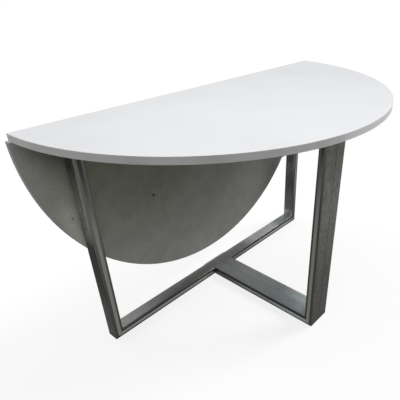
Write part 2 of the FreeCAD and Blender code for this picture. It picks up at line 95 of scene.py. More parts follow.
camera_data = bpy.data.cameras.new("photo_camera")
camera_data.sensor_width = CAMERA_SENSOR_MM
camera_data.lens = CAMERA_LENS_MM
camera_data.shift_x, camera_data.shift_y = CAMERA_SHIFT
camera_data.clip_end = CAMERA_REACH_M
camera = bpy.data.objects.new("photo_camera", camera_data)
camera.location = CAMERA_PLACE
camera.rotation_euler = [math.radians(angle) for angle in CAMERA_TURN_DEG]
scene.collection.objects.link(camera)
scene.camera = camera
print("camera at", CAMERA_PLACE)

# %% [markdown]
# ## Node helpers
#
# Every finish is a small tree of nodes. The nodes could be added and linked one by one, but
# a few helpers keep the trees short to write. One adds a node and fills its sockets, one
# does arithmetic, and one turns a measured length into a soft mask from 0 to 1.


# %% Write the helpers for numbers
def fill(tree, socket, value):
    """Link a socket, or set its own number or colour."""
    if isinstance(value, bpy.types.NodeSocket):
        tree.links.new(value, socket)
    else:
        socket.default_value = value


def add(tree, kind, inputs=None, **settings):
    """Add a node, set its options, and fill its sockets by name or by number."""
    made = tree.nodes.new(kind)
    for name, value in settings.items():
        setattr(made, name, value)
    for name, value in (inputs or {}).items():
        fill(tree, made.inputs[name], value)
    return made


def math_node(tree, operation, *values, clamp=False):
    """One step of arithmetic, on sockets or plain numbers."""
    inputs = dict(enumerate(values))
    return add(tree, "ShaderNodeMath", inputs, operation=operation, use_clamp=clamp).outputs[0]


def mask(tree, value, zero_at, one_at):
    """A soft step: 0 where the value is at zero_at, 1 where it is at one_at."""
    inputs = {"Value": value, "From Min": zero_at, "From Max": one_at}
    return add(tree, "ShaderNodeMapRange", inputs, interpolation_type="SMOOTHSTEP").outputs[0]


def spread(tree, value, low, high):
    """Turn a 0 to 1 value into one between low and high."""
    inputs = {"Value": value, "To Min": low, "To Max": high}
    return add(tree, "ShaderNodeMapRange", inputs).outputs[0]


def axes(tree, place):
    """The X, Y and Z of a place."""
    return add(tree, "ShaderNodeSeparateXYZ", {0: place}).outputs


number_helpers = (fill, add, math_node, mask, spread, axes)
print("helpers for numbers:", [helper.__name__ for helper in number_helpers])

# %% [markdown]
# The others work on colours and surfaces. A noise pattern is measured in patches per metre,
# because Object coordinates are metres, and a bump is measured in millimetres of depth.

# %% Write the helpers for colours and surfaces
MIX_A, MIX_B, MIX_RESULT = 6, 7, 2


def mix(tree, factor, first, second, blend="MIX"):
    """Go from the first colour to the second by a factor from 0 to 1."""
    inputs = {0: factor, MIX_A: first, MIX_B: second}
    made = add(tree, "ShaderNodeMix", inputs, data_type="RGBA", blend_type=blend)
    return made.outputs[MIX_RESULT]


def times(tree, base, colour):
    """One colour multiplied by another, which darkens, brightens or tints it."""
    return mix(tree, 1.0, base, colour, blend="MULTIPLY")


def grey(value, tint=(1.0, 1.0, 1.0)):
    return (value * tint[0], value * tint[1], value * tint[2], 1.0)


def noise(tree, place, scale, detail=4.0, roughness=0.5):
    inputs = {"Vector": place, "Scale": scale, "Detail": detail, "Roughness": roughness}
    return add(tree, "ShaderNodeTexNoise", inputs).outputs[0]


def stretched(tree, place, scales):
    """Object coordinates with their own scale along each axis."""
    return add(tree, "ShaderNodeMapping", {"Vector": place, "Scale": scales}).outputs[0]


def finish_named(name):
    """A new material: its tree, its shader and its Object coordinates, in metres."""
    material = bpy.data.materials.new(name)
    material.use_nodes = True
    tree = material.node_tree
    shader = tree.nodes["Principled BSDF"]
    place = add(tree, "ShaderNodeTexCoord").outputs["Object"]
    return material, tree, shader, place


def raise_surface(tree, shader, height, depth_mm):
    """Let a height pattern of this depth bend the light."""
    inputs = {"Height": height, "Distance": depth_mm * MM, "Strength": 1.0}
    fill(tree, shader.inputs["Normal"], add(tree, "ShaderNodeBump", inputs).outputs[0])


def dress(material, names):
    """Give solids this finish, in their own material slots."""
    for name in names:
        slots = nodes[name].data.materials
        slots.clear()
        slots.append(material)
    print(material.name, "on", len(names), "solids")


colour_helpers = (mix, times, grey, noise, stretched, finish_named, raise_surface, dress)
print("helpers for colours:", [helper.__name__ for helper in colour_helpers])

# %% [markdown]
# ## White laminate
#
# The face of the top is a melamine laminate: a hard, satin white with a very fine pebble
# that breaks up reflections. One flat white would look like paper. A fine noise gives the
# pebble, and a broad, faint one gives the cloudiness that years of wiping leave. The top is
# also painted darker with distance from a point near its front. That is painted shade, and
# it shares its darker white with the cloudy wear.

# %% Make the white laminate
LAMINATE_WHITE = (0.825, 0.832, 0.848, 1.0)
# a darker white, shared by painted shade and the cloudy wear
LAMINATE_SHADED_AND_WORN = (0.690, 0.696, 0.710, 1.0)
LAMINATE_ROUGH = (0.36, 0.50)
LAMINATE_SPECULAR = 0.30
BRIGHTEST_FROM_HINGE_M = (-0.23, -0.65, 0.026)
SHADE_FROM_M = (0.15, 1.0)
CLOUDS_PER_M = 5.0
CLOUDY_FROM = (0.35, 0.75)
CLOUDY_WEAR = 0.20
PEBBLE_PER_M = 900.0
PEBBLE_MM = 0.03

pin_low, pin_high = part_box("middle_hinge_pin")
HINGE_MIDDLE = (pin_low + pin_high) / 2
white_laminate, tree, shader, place = finish_named("white_laminate")
clouds = noise(tree, place, CLOUDS_PER_M, detail=5.0)
pebble = noise(tree, place, PEBBLE_PER_M, detail=2.0)
# painted shade: the white darkens with distance from this point near the front of the top
brightest_point = HINGE_MIDDLE + Vector(BRIGHTEST_FROM_HINGE_M)
from_brightest_point = add(tree, "ShaderNodeVectorMath", {0: place, 1: brightest_point}, operation="DISTANCE")
shade_and_wear = mask(tree, from_brightest_point.outputs["Value"], *SHADE_FROM_M)
cloudy = mask(tree, clouds, *CLOUDY_FROM)
shade_and_wear = math_node(tree, "MULTIPLY_ADD", cloudy, CLOUDY_WEAR, shade_and_wear, clamp=True)
fill(tree, shader.inputs["Base Color"], mix(tree, shade_and_wear, LAMINATE_WHITE, LAMINATE_SHADED_AND_WORN))
fill(tree, shader.inputs["Roughness"], spread(tree, clouds, *LAMINATE_ROUGH))
shader.inputs["Specular IOR Level"].default_value = LAMINATE_SPECULAR
raise_surface(tree, shader, pebble, PEBBLE_MM)
dress(white_laminate, ["fixed_top_laminate", "drop_leaf_laminate"])

# %% [markdown]
# ## Edge band
#
# The rim is a thin strip of plastic glued round the boards. It is white as well, slightly
# duller than the face, with fine lines along it from the roll that pressed it on. The lines
# run round the rim, so they depend on height alone: a noise that is stretched out of reach
# along X and Y, and fine along Z. On the hanging leaf the thickness runs along Y, and its
# rim is darkened by painted shade, most at the left end. Both rims are lighter towards the
# right end.

# %% Make the edge band
# the rims turn to this lighter white towards the right end
BAND_LIGHTER_RIGHT = (0.895, 0.902, 0.918, 1.0)
BAND_WHITE = (0.735, 0.742, 0.732, 1.0)
BAND_GRUBBY = (0.640, 0.647, 0.635, 1.0)
BAND_LINE = grey(0.45)
BAND_LINE_SHARES = (0.0, 0.16)
BAND_LINE_MM = 0.02
BAND_ROUGH = (0.48, 0.64)
SMUDGES_PER_M = 14.0
SMUDGED_FROM = (0.42, 0.78)
LIGHTER_RIGHT_FROM_M = (-0.155, -0.09)
TOP_BAND_SHARES = (1.0, 1.0)
# painted shade on the hanging leaf's rim: these shares darken it, most at the left end
LEAF_BAND_SHADE = (0.58, 0.90)
SHADED_LEFT_FROM_M = (-0.50, -0.30)
GLOSSY_BAND = 0.50
MATT_BAND = 0.15
BAND_LINES_PER_M = 1400.0
BAND_ALONG_PER_M = 9.0


def edge_band(name, line_scales, specular, shade_shares):
    """The strip on a rim, with its lines, smudges and lighter right end, and painted shade at the left."""
    material, tree, shader, place = finish_named(name)
    along = axes(tree, place)["X"]
    lines = noise(tree, stretched(tree, place, line_scales), 1.0, detail=2.0)
    smudges = noise(tree, place, SMUDGES_PER_M, detail=5.0)
    base = mix(tree, mask(tree, smudges, *SMUDGED_FROM), BAND_WHITE, BAND_GRUBBY)
    base = mix(tree, mask(tree, along, *LIGHTER_RIGHT_FROM_M), base, BAND_LIGHTER_RIGHT)
    base = mix(tree, spread(tree, lines, *BAND_LINE_SHARES), base, BAND_LINE)
    # painted shade: the rim is darkened towards its left end
    away = mask(tree, along, *SHADED_LEFT_FROM_M)
    shaded_left = mix(tree, away, grey(shade_shares[0]), grey(shade_shares[1]))
    fill(tree, shader.inputs["Base Color"], times(tree, base, shaded_left))
    fill(tree, shader.inputs["Roughness"], spread(tree, smudges, *BAND_ROUGH))
    shader.inputs["Specular IOR Level"].default_value = specular
    raise_surface(tree, shader, lines, BAND_LINE_MM)
    return material


lying_lines = (BAND_ALONG_PER_M, BAND_ALONG_PER_M, BAND_LINES_PER_M)
hanging_lines = (BAND_ALONG_PER_M, BAND_LINES_PER_M, BAND_ALONG_PER_M)
lying_band = edge_band("edge_band_lying", lying_lines, GLOSSY_BAND, TOP_BAND_SHARES)
hanging_band = edge_band("edge_band_hanging", hanging_lines, MATT_BAND, LEAF_BAND_SHADE)
dress(lying_band, ["fixed_top_rim_band", "fixed_top_joint_band"])
dress(hanging_band, ["drop_leaf_rim_band", "drop_leaf_joint_band"])

# %% [markdown]
# ## Grey backer
#
# The underside of a board carries a plain backing sheet, so that the board stays flat. It
# is a warm grey, mottled by three noises of different size. Painted light makes it lighter
# towards the left. Two patches of painted shade, below the top and under its rim, and one of
# painted light, beside the left leg, are soft patches round points measured from the hinge.
#
# The leaf has also picked up three small dark marks. Each is the distance from a point on
# the sheet, cut off by a mask, which is an exact way to put a spot in a known place.

# %% Write down the painted patches
OLIVE = (1.0, 1.0, 0.84)
NEUTRAL = (1.0, 1.0, 1.0)
PAINTED_PATCHES = {
    # painted shade: darker below the top, round a point left of the hinge's middle
    "shade_below_top": {
        "from_hinge": (-0.27, 0.0, -0.12),
        "stretch": (1.0, 1.0, 1.0),
        "reach": (0.40, 0.11),
        "colour": grey(0.60, OLIVE),
    },
    # painted shade: darker under the rim of the top, towards the left
    "shade_under_rim": {
        "from_hinge": (-0.48, 0.0, 0.0),
        "stretch": (0.8, 1.0, 1.0),
        "reach": (0.14, 0.05),
        "colour": grey(0.42, NEUTRAL),
    },
    # painted light: lighter beside the left rear leg, in place of its shade
    "light_beside_leg": {
        "from_hinge": (-0.515, 0.0, -0.29),
        "stretch": (2.6, 1.0, 1.0),
        "reach": (0.19, 0.02),
        "colour": grey(1.62, NEUTRAL),
    },
}
LEAF_MARKS_MM = (
    {"x": 18.0, "z": 240.0, "radius": 2.2},
    {"x": -523.5, "z": 450.0, "radius": 2.4},
    {"x": -267.0, "z": 500.0, "radius": 1.6},
)
MARK_FADE, MARK_SOLID = 1.6, 0.5
BACKER_MARK = (0.10, 0.10, 0.09, 1.0)


def with_painted_patches(tree, base, place):
    """Every patch of painted shade and painted light, as a soft patch that multiplies the colour under it.
    """
    for patch_facts in PAINTED_PATCHES.values():
        middle = HINGE_MIDDLE + Vector(patch_facts["from_hinge"])
        offset = add(tree, "ShaderNodeVectorMath", {0: place, 1: middle}, operation="SUBTRACT")
        offset = stretched(tree, offset.outputs[0], patch_facts["stretch"])
        away = add(tree, "ShaderNodeVectorMath", {0: offset}, operation="LENGTH")
        patch = mask(tree, away.outputs["Value"], *patch_facts["reach"])
        base = mix(tree, patch, base, times(tree, base, patch_facts["colour"]))
    return base


def marked(tree, base, place, marks):
    """Small dark spots, at places on the upright sheet."""
    across = axes(tree, place)
    for spot in marks:
        off_x = math_node(tree, "SUBTRACT", across["X"], spot["x"] * MM)
        off_z = math_node(tree, "SUBTRACT", across["Z"], spot["z"] * MM)
        squares = [math_node(tree, "POWER", off, 2.0) for off in (off_x, off_z)]
        away = math_node(tree, "SQRT", math_node(tree, "ADD", *squares))
        limits = [share * spot["radius"] * MM for share in (MARK_FADE, MARK_SOLID)]
        base = mix(tree, mask(tree, away, *limits), base, BACKER_MARK)
    return base


print(len(PAINTED_PATCHES), "painted_patches and", len(LEAF_MARKS_MM), "marks")

# %% [markdown]
# The sheet itself comes under them: two greys, a fine fibre that also roughens the surface,
# a speckle between the two in size, and the painted light towards the left.

# %% Make the backer
BACKER_LIGHT = (0.292, 0.297, 0.275, 1.0)
BACKER_DARK = (0.250, 0.254, 0.232, 1.0)
BACKER_ROUGH = (0.55, 0.75)
BLOTCHES_PER_M = 22.0
BLOTCHED_FROM = (0.32, 0.70)
FIBRES_PER_M = 420.0
FIBRE_SHARES = (0.0, 0.30)
FIBRE_MM = 0.04
SPECKLES_PER_M = 140.0
SPECKLED_FROM = (0.46, 0.66)
SPECKLE = grey(0.86)
# painted light: the sheet grows lighter towards the left
LIGHTER_LEFT_FROM_M = (0.55, -0.62)
PAINTED_LIGHT_LEFT = grey(1.88)


def backer(name, marks):
    """The sheet under a board, with its painted patches and these marks."""
    material, tree, shader, place = finish_named(name)
    blotches = noise(tree, place, BLOTCHES_PER_M, detail=6.0, roughness=0.6)
    fibres = noise(tree, place, FIBRES_PER_M, detail=3.0)
    speckles = noise(tree, place, SPECKLES_PER_M, detail=3.0, roughness=0.7)
    base = mix(tree, mask(tree, blotches, *BLOTCHED_FROM), BACKER_LIGHT, BACKER_DARK)
    base = mix(tree, spread(tree, fibres, *FIBRE_SHARES), base, BACKER_DARK)
    base = mix(tree, mask(tree, speckles, *SPECKLED_FROM), base, times(tree, base, SPECKLE))
    # painted light towards the left
    lighter_left = mask(tree, axes(tree, place)["X"], *LIGHTER_LEFT_FROM_M)
    base = mix(tree, lighter_left, base, times(tree, base, PAINTED_LIGHT_LEFT))
    base = marked(tree, with_painted_patches(tree, base, place), place, marks)
    fill(tree, shader.inputs["Base Color"], base)
    fill(tree, shader.inputs["Roughness"], spread(tree, blotches, *BACKER_ROUGH))
    raise_surface(tree, shader, fibres, FIBRE_MM)
    return material


dress(backer("grey_backer_leaf", LEAF_MARKS_MM), ["drop_leaf_backer"])
dress(backer("grey_backer_top", ()), ["fixed_top_backer"])

# %% [markdown]
# ## Board core
#
# Under the sheets is particle board: pressed chips of wood. It shows only down the screw
# holes, but a cut or opened model shows it well. A Voronoi pattern stretched a little makes
# chips, each with its own brown.

# %% Make the particle board
CHIP_LIGHT = (0.600, 0.465, 0.310, 1.0)
CHIP_DARK = (0.330, 0.225, 0.130, 1.0)
CHIP_ROUGH = (0.70, 0.90)
CHIPS_PER_M = (160.0, 220.0, 520.0)
CHIP_MM = 0.2

board_core, tree, shader, place = finish_named("board_core")
chip_place = stretched(tree, place, CHIPS_PER_M)
chips = add(tree, "ShaderNodeTexVoronoi", {"Vector": chip_place, "Scale": 1.0})
chip_tone = add(tree, "ShaderNodeSeparateColor", {0: chips.outputs["Color"]}).outputs[0]
fill(tree, shader.inputs["Base Color"], mix(tree, chip_tone, CHIP_LIGHT, CHIP_DARK))
fill(tree, shader.inputs["Roughness"], spread(tree, chip_tone, *CHIP_ROUGH))
raise_surface(tree, shader, chips.outputs["Distance"], CHIP_MM)
dress(board_core, ["fixed_top_core", "drop_leaf_core"])

# %% [markdown]
# ## Steel tube
#
# The base is rolled steel box tube, 50 by 30 mm, ground along its length and left bare. One
# grey would look like plastic. Several things make it read as tube: fine scratches and
# streaks that run along each length, and a soft mottling of oxide. A light strip down the
# middle of each narrow face and the dark margins beside it, on the rounded edges, are painted
# reflection and shade. The floor bars are painted paler on top than the legs: painted light.
#
# The greys change along each tube, and so does their tint: painted light, shade and
# reflection, where a tube runs out into the open or in under the top. A colour ramp holds
# both: its stops are places from 0 at the low end to 1 at the high end, each with a tone.

# %% Ramp the greys along a tube
GREENISH = (0.985, 1.0, 0.90)
BLUISH = (0.930, 0.975, 1.0)
TEAL = (0.860, 0.990, 1.0)
BROWNISH = (1.0, 0.975, 0.945)
ALL_GREENISH = (GREENISH, GREENISH)
ALL_BLUISH = (BLUISH, BLUISH)
NEW_STOP = 0.5


def ramp(tree, value, stops, tints):
    """Greys along the tube, painted light and shade, tinted from one end to the other."""
    made = add(tree, "ShaderNodeValToRGB", {0: value})
    marks = made.color_ramp.elements
    while len(marks) < len(stops):
        marks.new(NEW_STOP)
    for mark, (place, tone) in zip(marks, stops):
        mark.position = place
        mark.color = grey(tone, Vector(tints[0]).lerp(Vector(tints[1]), place))
    return made.outputs[0]


leg_low, leg_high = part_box("right_rear_leg")
print("a leg measures", [round(length / MM) for length in leg_high - leg_low], "mm")

# %% [markdown]
# The weld at each mitre is ground flush and stays as a hairline, and the two halves of the
# stem and of the front leg meet in a straight seam. Each line lies in a plane, so it is
# drawn where a point's distance from that plane is small.

# %% Draw the seams
MITRE_LINE = {"half_mm": 0.4, "fade_mm": 1.0, "strength": 0.55}
LEG_LINE = {"half_mm": 0.8, "fade_mm": 1.6, "strength": 0.90}
STEM_LINE = {"half_mm": 0.4, "fade_mm": 1.0, "strength": 0.30}
LEG_SEAM = ((0, 0, 0), (1, 0, 0), LEG_LINE)
STEM_SEAM = ((0, 0, 0), (1, 0, 0), STEM_LINE)
# the dark of the seams, and of the painted contact shade near the floor
SEAM_AND_SHADE_DARK = grey(0.010)


def seamed(tree, base, place, seams):
    """Dark lines in planes, each given by a point and a normal."""
    for point, normal, line in seams:
        direction = Vector(normal).normalized()
        along = add(tree, "ShaderNodeVectorMath", {0: place, 1: direction}, operation="DOT_PRODUCT")
        offset = math_node(tree, "SUBTRACT", along.outputs["Value"], Vector(point).dot(direction))
        away = math_node(tree, "ABSOLUTE", offset)
        seam = mask(tree, away, line["fade_mm"] * MM, line["half_mm"] * MM)
        base = mix(tree, math_node(tree, "MULTIPLY", seam, line["strength"]), base, SEAM_AND_SHADE_DARK)
    return base


line_widths = [line["half_mm"] * 2 for line in (MITRE_LINE, LEG_LINE, STEM_LINE)]
print("lines at mitres, leg and stem", line_widths, "mm wide")

# %% [markdown]
# The strips and margins can be measured from Object coordinates as well. Across the tube, a
# point's distance from the middle says how far round the section it is. The tubes of the
# stem and of the front leg stand side by side, so each has its strip on the outer side
# only.

# %% Mask the sides and strips of a tube
STRIP_MM = (6.5, 4.7)
SIDE_FADE_MM = 0.5


def section(tree, place, box, run, side_mm, outer):
    """Masks for the narrow sides of a tube and for the strips on them."""
    low, high = box
    middle = (low + high) / 2
    half = (high - low) / 2
    across_run = [axis for axis in range(len(half)) if axis != run]
    wide, narrow = sorted(across_run, key=lambda axis: -half[axis])
    across = axes(tree, place)
    off_wide = math_node(tree, "SUBTRACT", across[wide], middle[wide])
    if outer:
        off_wide = math_node(tree, "MULTIPLY", off_wide, outer)
    else:
        off_wide = math_node(tree, "ABSOLUTE", off_wide)
    off_narrow = math_node(tree, "SUBTRACT", across[narrow], middle[narrow])
    starts = half[wide] - side_mm * MM
    side = mask(tree, off_wide, starts - SIDE_FADE_MM * MM, starts + SIDE_FADE_MM * MM)
    strip_limits = [limit * MM for limit in STRIP_MM]
    strip = mask(tree, math_node(tree, "ABSOLUTE", off_narrow), *strip_limits)
    return side, strip


print("strips", STRIP_MM[1] * 2, "mm wide, fading out at", STRIP_MM[0] * 2, "mm")

# %% [markdown]
# So one function makes the finish of any tube from its box and its direction. The rear legs
# have plainer greys on the faces turned to the right. Dull oxide makes the steel about half
# as metallic as it would be bright, and the lowest millimetres are painted dark: painted
# contact shade where the tubes stand on the floor.

# %% Write the finish of a tube
SCRATCHES_PER_M = (950.0, 8.0)
SCRATCHED = (0.0, 0.5)
SCRATCH = grey(0.46)
SCRATCH_MM = 0.02
STREAKS_PER_M = (170.0, 2.5)
MOTTLE_PER_M = 75.0
MOTTLE_ROUGH = (-0.05, 0.06)
OXIDE_METALLIC = 0.55
OXIDE_SPECULAR = 0.15
OXIDE_EDGE = grey(0.40)
# painted contact shade: how high above the floor the tubes turn dark and rough
CONTACT_SHADE_MM = (12.0, 7.0)
CONTACT_SHADE_ROUGH = 0.95


def tube_steel(name, run, tones, tints, ground, side_mm, seams, outer=0, far_face=None):
    """The finish of one tube along an axis, with its greys for faces, strips and margins."""
    low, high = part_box(name)
    material, tree, shader, place = finish_named("steel_" + name)
    across = axes(tree, place)
    side, strip = section(tree, place, (low, high), run, side_mm, outer)

    def grain(per_m, detail):
        scales = [per_m[0]] * 3
        scales[run] = per_m[1]
        return noise(tree, stretched(tree, place, scales), 1.0, detail=detail)

    scratches = grain(SCRATCHES_PER_M, 3.0)
    streaks = grain(STREAKS_PER_M, 4.0)
    mottle = noise(tree, place, MOTTLE_PER_M, detail=6.0, roughness=0.75)
    span = {"Value": across[run], "From Min": low[run], "From Max": high[run]}
    along = add(tree, "ShaderNodeMapRange", span).outputs[0]
    face, strips, margins = (ramp(tree, along, stops, tints) for stops in tones)
    if far_face:
        middle_x = (low.x + high.x) / 2
        fade = SIDE_FADE_MM * MM
        far = mask(tree, across["X"], middle_x - fade, middle_x + fade)
        face = mix(tree, far, face, ramp(tree, along, far_face, tints))
    dull = times(tree, face, grey(ground["dull"]))
    base = mix(tree, mask(tree, mottle, *ground["mottled"]), face, dull)
    base = mix(tree, mask(tree, streaks, *ground["streaked"]), base, dull)
    # painted reflection and shade: the light strip and its dark margins on the narrow sides
    base = mix(tree, side, base, mix(tree, strip, margins, strips))
    base = mix(tree, spread(tree, scratches, *SCRATCHED), base, times(tree, base, SCRATCH))
    base = seamed(tree, base, place, seams)
    # painted contact shade on the lowest millimetres of every tube
    contact_shade = mask(tree, across["Z"], *(height * MM for height in CONTACT_SHADE_MM))
    fill(tree, shader.inputs["Base Color"], mix(tree, contact_shade, base, SEAM_AND_SHADE_DARK))
    shader.inputs["Metallic"].default_value = OXIDE_METALLIC
    shader.inputs["Specular IOR Level"].default_value = OXIDE_SPECULAR
    shader.inputs["Specular Tint"].default_value = OXIDE_EDGE
    rough = spread(tree, scratches, *ground["rough"])
    rough = math_node(tree, "ADD", rough, spread(tree, mottle, *MOTTLE_ROUGH))
    shaded_and_rough = math_node(tree, "MULTIPLY", contact_shade, CONTACT_SHADE_ROUGH)
    fill(tree, shader.inputs["Roughness"], math_node(tree, "MAXIMUM", rough, shaded_and_rough))
    raise_surface(tree, shader, scratches, SCRATCH_MM)
    return material


print("tubes", OXIDE_METALLIC, "metallic, grimy below", CONTACT_SHADE_MM[0], "mm")

# %% [markdown]
# The tones come next, first for the legs, from the floor up. They are painted light, shade
# and reflection: the strips darken in under the top, the faces have lighter bands part way
# up, and the right leg has a painted reflection of the floor bar at its foot. The ground is
# how rough the steel is, and how far the mottling and the streaks dull it.

# %% Set the tones of the legs
LEG_GROUND = {
    "rough": (0.32, 0.44),
    "dull": 0.57,
    "mottled": (0.34, 0.69),
    "streaked": (0.50, 0.88),
}
LEG_SIDE_MM = 1.4
LEFT_LEG_SIDE_MM = 3.0
# painted light and shade along the front leg; its strip darkens under the top
FRONT_LEG_FACE = ((0.0, 0.10), (0.30, 0.125), (0.65, 0.23), (1.0, 0.175))
FRONT_LEG_STRIP = ((0.0, 0.30), (0.62, 0.27), (0.84, 0.13), (0.95, 0.03))
LEG_MARGIN = ((0.0, 0.07), (0.62, 0.07), (0.92, 0.13))
# painted light and shade along the left leg
LEFT_LEG_FACE = (
    (0.0, 0.09), (0.19, 0.066), (0.29, 0.026), (0.40, 0.018), (0.53, 0.020),
    (0.62, 0.30), (0.70, 0.48), (0.79, 0.38), (0.88, 0.155), (1.0, 0.10),
)
LEFT_LEG_STRIP = (
    (0.0, 0.31), (0.55, 0.29), (0.62, 0.26), (0.71, 0.175), (0.79, 0.11), (0.88, 0.055),
    (0.95, 0.03),
)
LEFT_LEG_MARGIN = ((0.0, 0.08), (0.30, 0.09), (0.50, 0.13), (0.62, 0.17), (1.0, 0.16))
# painted reflection at the right leg's foot, and painted light higher up
RIGHT_LEG_FACE = (
    (0.0, 0.84), (0.06, 0.62), (0.10, 0.20), (0.30, 0.10), (0.37, 0.16), (0.42, 0.38),
    (1.0, 0.24),
)
RIGHT_LEG_STRIP = ((0.0, 0.13), (0.17, 0.15), (0.28, 0.30), (0.62, 0.26), (0.92, 0.05))
FAR_LEG_FACE = ((0.0, 0.13), (1.0, 0.18))

FRONT_LEG = ((FRONT_LEG_FACE, FRONT_LEG_STRIP, LEG_MARGIN), ALL_GREENISH, LEG_GROUND, LEG_SIDE_MM)
LEFT_LEG_TONES = (LEFT_LEG_FACE, LEFT_LEG_STRIP, LEFT_LEG_MARGIN)
LEFT_LEG = (LEFT_LEG_TONES, ALL_GREENISH, LEG_GROUND, LEFT_LEG_SIDE_MM)
RIGHT_LEG_TONES = (RIGHT_LEG_FACE, RIGHT_LEG_STRIP, LEG_MARGIN)
RIGHT_LEG = (RIGHT_LEG_TONES, ALL_BLUISH, LEG_GROUND, LEG_SIDE_MM)
print("leg faces of", [len(tones[0]) for tones, *rest in (FRONT_LEG, LEFT_LEG, RIGHT_LEG)], "tones")

# %% [markdown]
# The floor bars and the top rails follow. Bars run from left to right, and the stem from the
# front to the rear. Their tones are painted light and shade as well: the stem is lightest at
# its front end, out in the open, and darker under the top. The rails are hidden and stay plain.

# %% Set the tones of the bars and rails
BAR_GROUND = {
    "rough": (0.24, 0.34),
    "dull": 0.74,
    "mottled": (0.30, 0.72),
    "streaked": (0.40, 0.75),
}
# wider dark margins paint shade over the highlight on the right bar's rounded edge
STEM_SIDE_MM = 2.6
LEFT_BAR_SIDE_MM = 1.8
RIGHT_BAR_SIDE_MM = 3.2
BAR_MARGIN = ((0.0, 0.045), (1.0, 0.045))
STEM_STRIP = (
    (0.0, 0.42), (0.20, 0.47), (0.29, 0.40), (0.38, 0.27), (0.57, 0.31), (0.72, 0.13),
    (1.0, 0.06),
)
LEFT_STEM_FACE = (
    (0.0, 0.80), (0.08, 0.70), (0.20, 0.46), (0.35, 0.475), (0.50, 0.54), (0.84, 0.46),
    (0.93, 0.32),
)
RIGHT_STEM_FACE = (
    (0.0, 0.78), (0.23, 0.61), (0.35, 0.48), (0.47, 0.60), (0.70, 0.58), (0.84, 0.43),
    (0.92, 0.30),
)
LEFT_BAR_FACE = (
    (0.0, 0.48), (0.19, 0.335), (0.42, 0.205), (0.54, 0.205), (0.80, 0.29), (1.0, 0.31),
)
LEFT_BAR_STRIP = ((0.0, 0.32), (0.70, 0.32), (0.78, 0.37), (0.88, 0.20), (1.0, 0.08))
RIGHT_BAR_FACE = (
    (0.0, 0.30), (0.28, 0.22), (0.42, 0.43), (0.70, 0.47), (0.79, 0.27), (0.85, 0.30),
    (0.92, 0.48), (1.0, 0.49),
)
RIGHT_BAR_STRIP = (
    (0.0, 0.06), (0.16, 0.20), (0.40, 0.34), (0.60, 0.46), (0.85, 0.46), (0.94, 0.29),
)
RAIL_FACE = ((0.0, 0.13), (1.0, 0.13))

STEM_TINTS = (TEAL, NEUTRAL)
LEFT_STEM = ((LEFT_STEM_FACE, STEM_STRIP, BAR_MARGIN), STEM_TINTS, BAR_GROUND, STEM_SIDE_MM)
RIGHT_STEM = ((RIGHT_STEM_FACE, STEM_STRIP, BAR_MARGIN), STEM_TINTS, BAR_GROUND, STEM_SIDE_MM)
LEFT_BAR_TONES = (LEFT_BAR_FACE, LEFT_BAR_STRIP, BAR_MARGIN)
LEFT_BAR = (LEFT_BAR_TONES, (NEUTRAL, BROWNISH), BAR_GROUND, LEFT_BAR_SIDE_MM)
RIGHT_BAR_TONES = (RIGHT_BAR_FACE, RIGHT_BAR_STRIP, BAR_MARGIN)
RIGHT_BAR = (RIGHT_BAR_TONES, (BROWNISH, BLUISH), BAR_GROUND, RIGHT_BAR_SIDE_MM)
RAIL = ((RAIL_FACE, RAIL_FACE, BAR_MARGIN), ALL_GREENISH, LEG_GROUND, LEG_SIDE_MM)
bars = (LEFT_STEM, RIGHT_STEM, LEFT_BAR, RIGHT_BAR, RAIL)
print("bar faces of", [len(tones[0]) for tones, *rest in bars], "tones")

# %% [markdown]
# With these, each frame takes one loop. The planes of its mitres come from the boxes of its
# tubes: the corners at the rear leg and at the front leg, and the vee where the stem meets
# the rear bar.

# %% Finish the tubes of both frames
ALONG_X, ALONG_Y, ALONG_Z = 0, 1, 2
BOTH_SIDES = 0
FRAMES = {
    "left_": (-1, LEFT_LEG, LEFT_BAR, LEFT_STEM),
    "right_": (1, RIGHT_LEG, RIGHT_BAR, RIGHT_STEM),
}

for side_name, (out, rear_leg, rear_bar, stem_bar) in FRAMES.items():
    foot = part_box(side_name + "rear_floor_bar")
    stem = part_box(side_name + "stem_floor_bar")
    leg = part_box(side_name + "rear_leg")
    inner_x, outer_x = sorted((corner.x for corner in foot), key=abs)
    front_y, floor_z, rail_z = stem[0].y, leg[0].z, leg[1].z
    rear_low = ((outer_x, 0, floor_z), (out, 0, 1), MITRE_LINE)
    rear_high = ((outer_x, 0, rail_z), (out, 0, -1), MITRE_LINE)
    front_low = ((0, front_y, floor_z), (0, -1, 1), MITRE_LINE)
    front_high = ((0, front_y, rail_z), (0, -1, -1), MITRE_LINE)
    vee = ((inner_x, foot[1].y, 0), (out, 1, 0), MITRE_LINE)
    tubes = {
        "rear_leg": (ALONG_Z, *rear_leg, (rear_low, rear_high), BOTH_SIDES, FAR_LEG_FACE),
        "front_leg": (ALONG_Z, *FRONT_LEG, (front_low, front_high, LEG_SEAM), out),
        "rear_floor_bar": (ALONG_X, *rear_bar, (rear_low, vee), BOTH_SIDES),
        "stem_floor_bar": (ALONG_Y, *stem_bar, (front_low, vee, STEM_SEAM), out),
        "rear_top_rail": (ALONG_X, *RAIL, (rear_high, vee), BOTH_SIDES),
        "stem_top_rail": (ALONG_Y, *RAIL, (front_high, vee), out),
    }
    for tube, facts in tubes.items():
        dress(tube_steel(side_name + tube, *facts), [side_name + tube])

# %% [markdown]
# ## Zinc and nylon
#
# The hinges, plates, bearers and screws are zinc plated: paler and cooler than the tube,
# with a cloudy bloom. The glides, spacers, guides and knobs are black nylon, which is matt
# with a fine moulded grain. Both are a broad noise between two tones, with a fine noise as
# the surface.

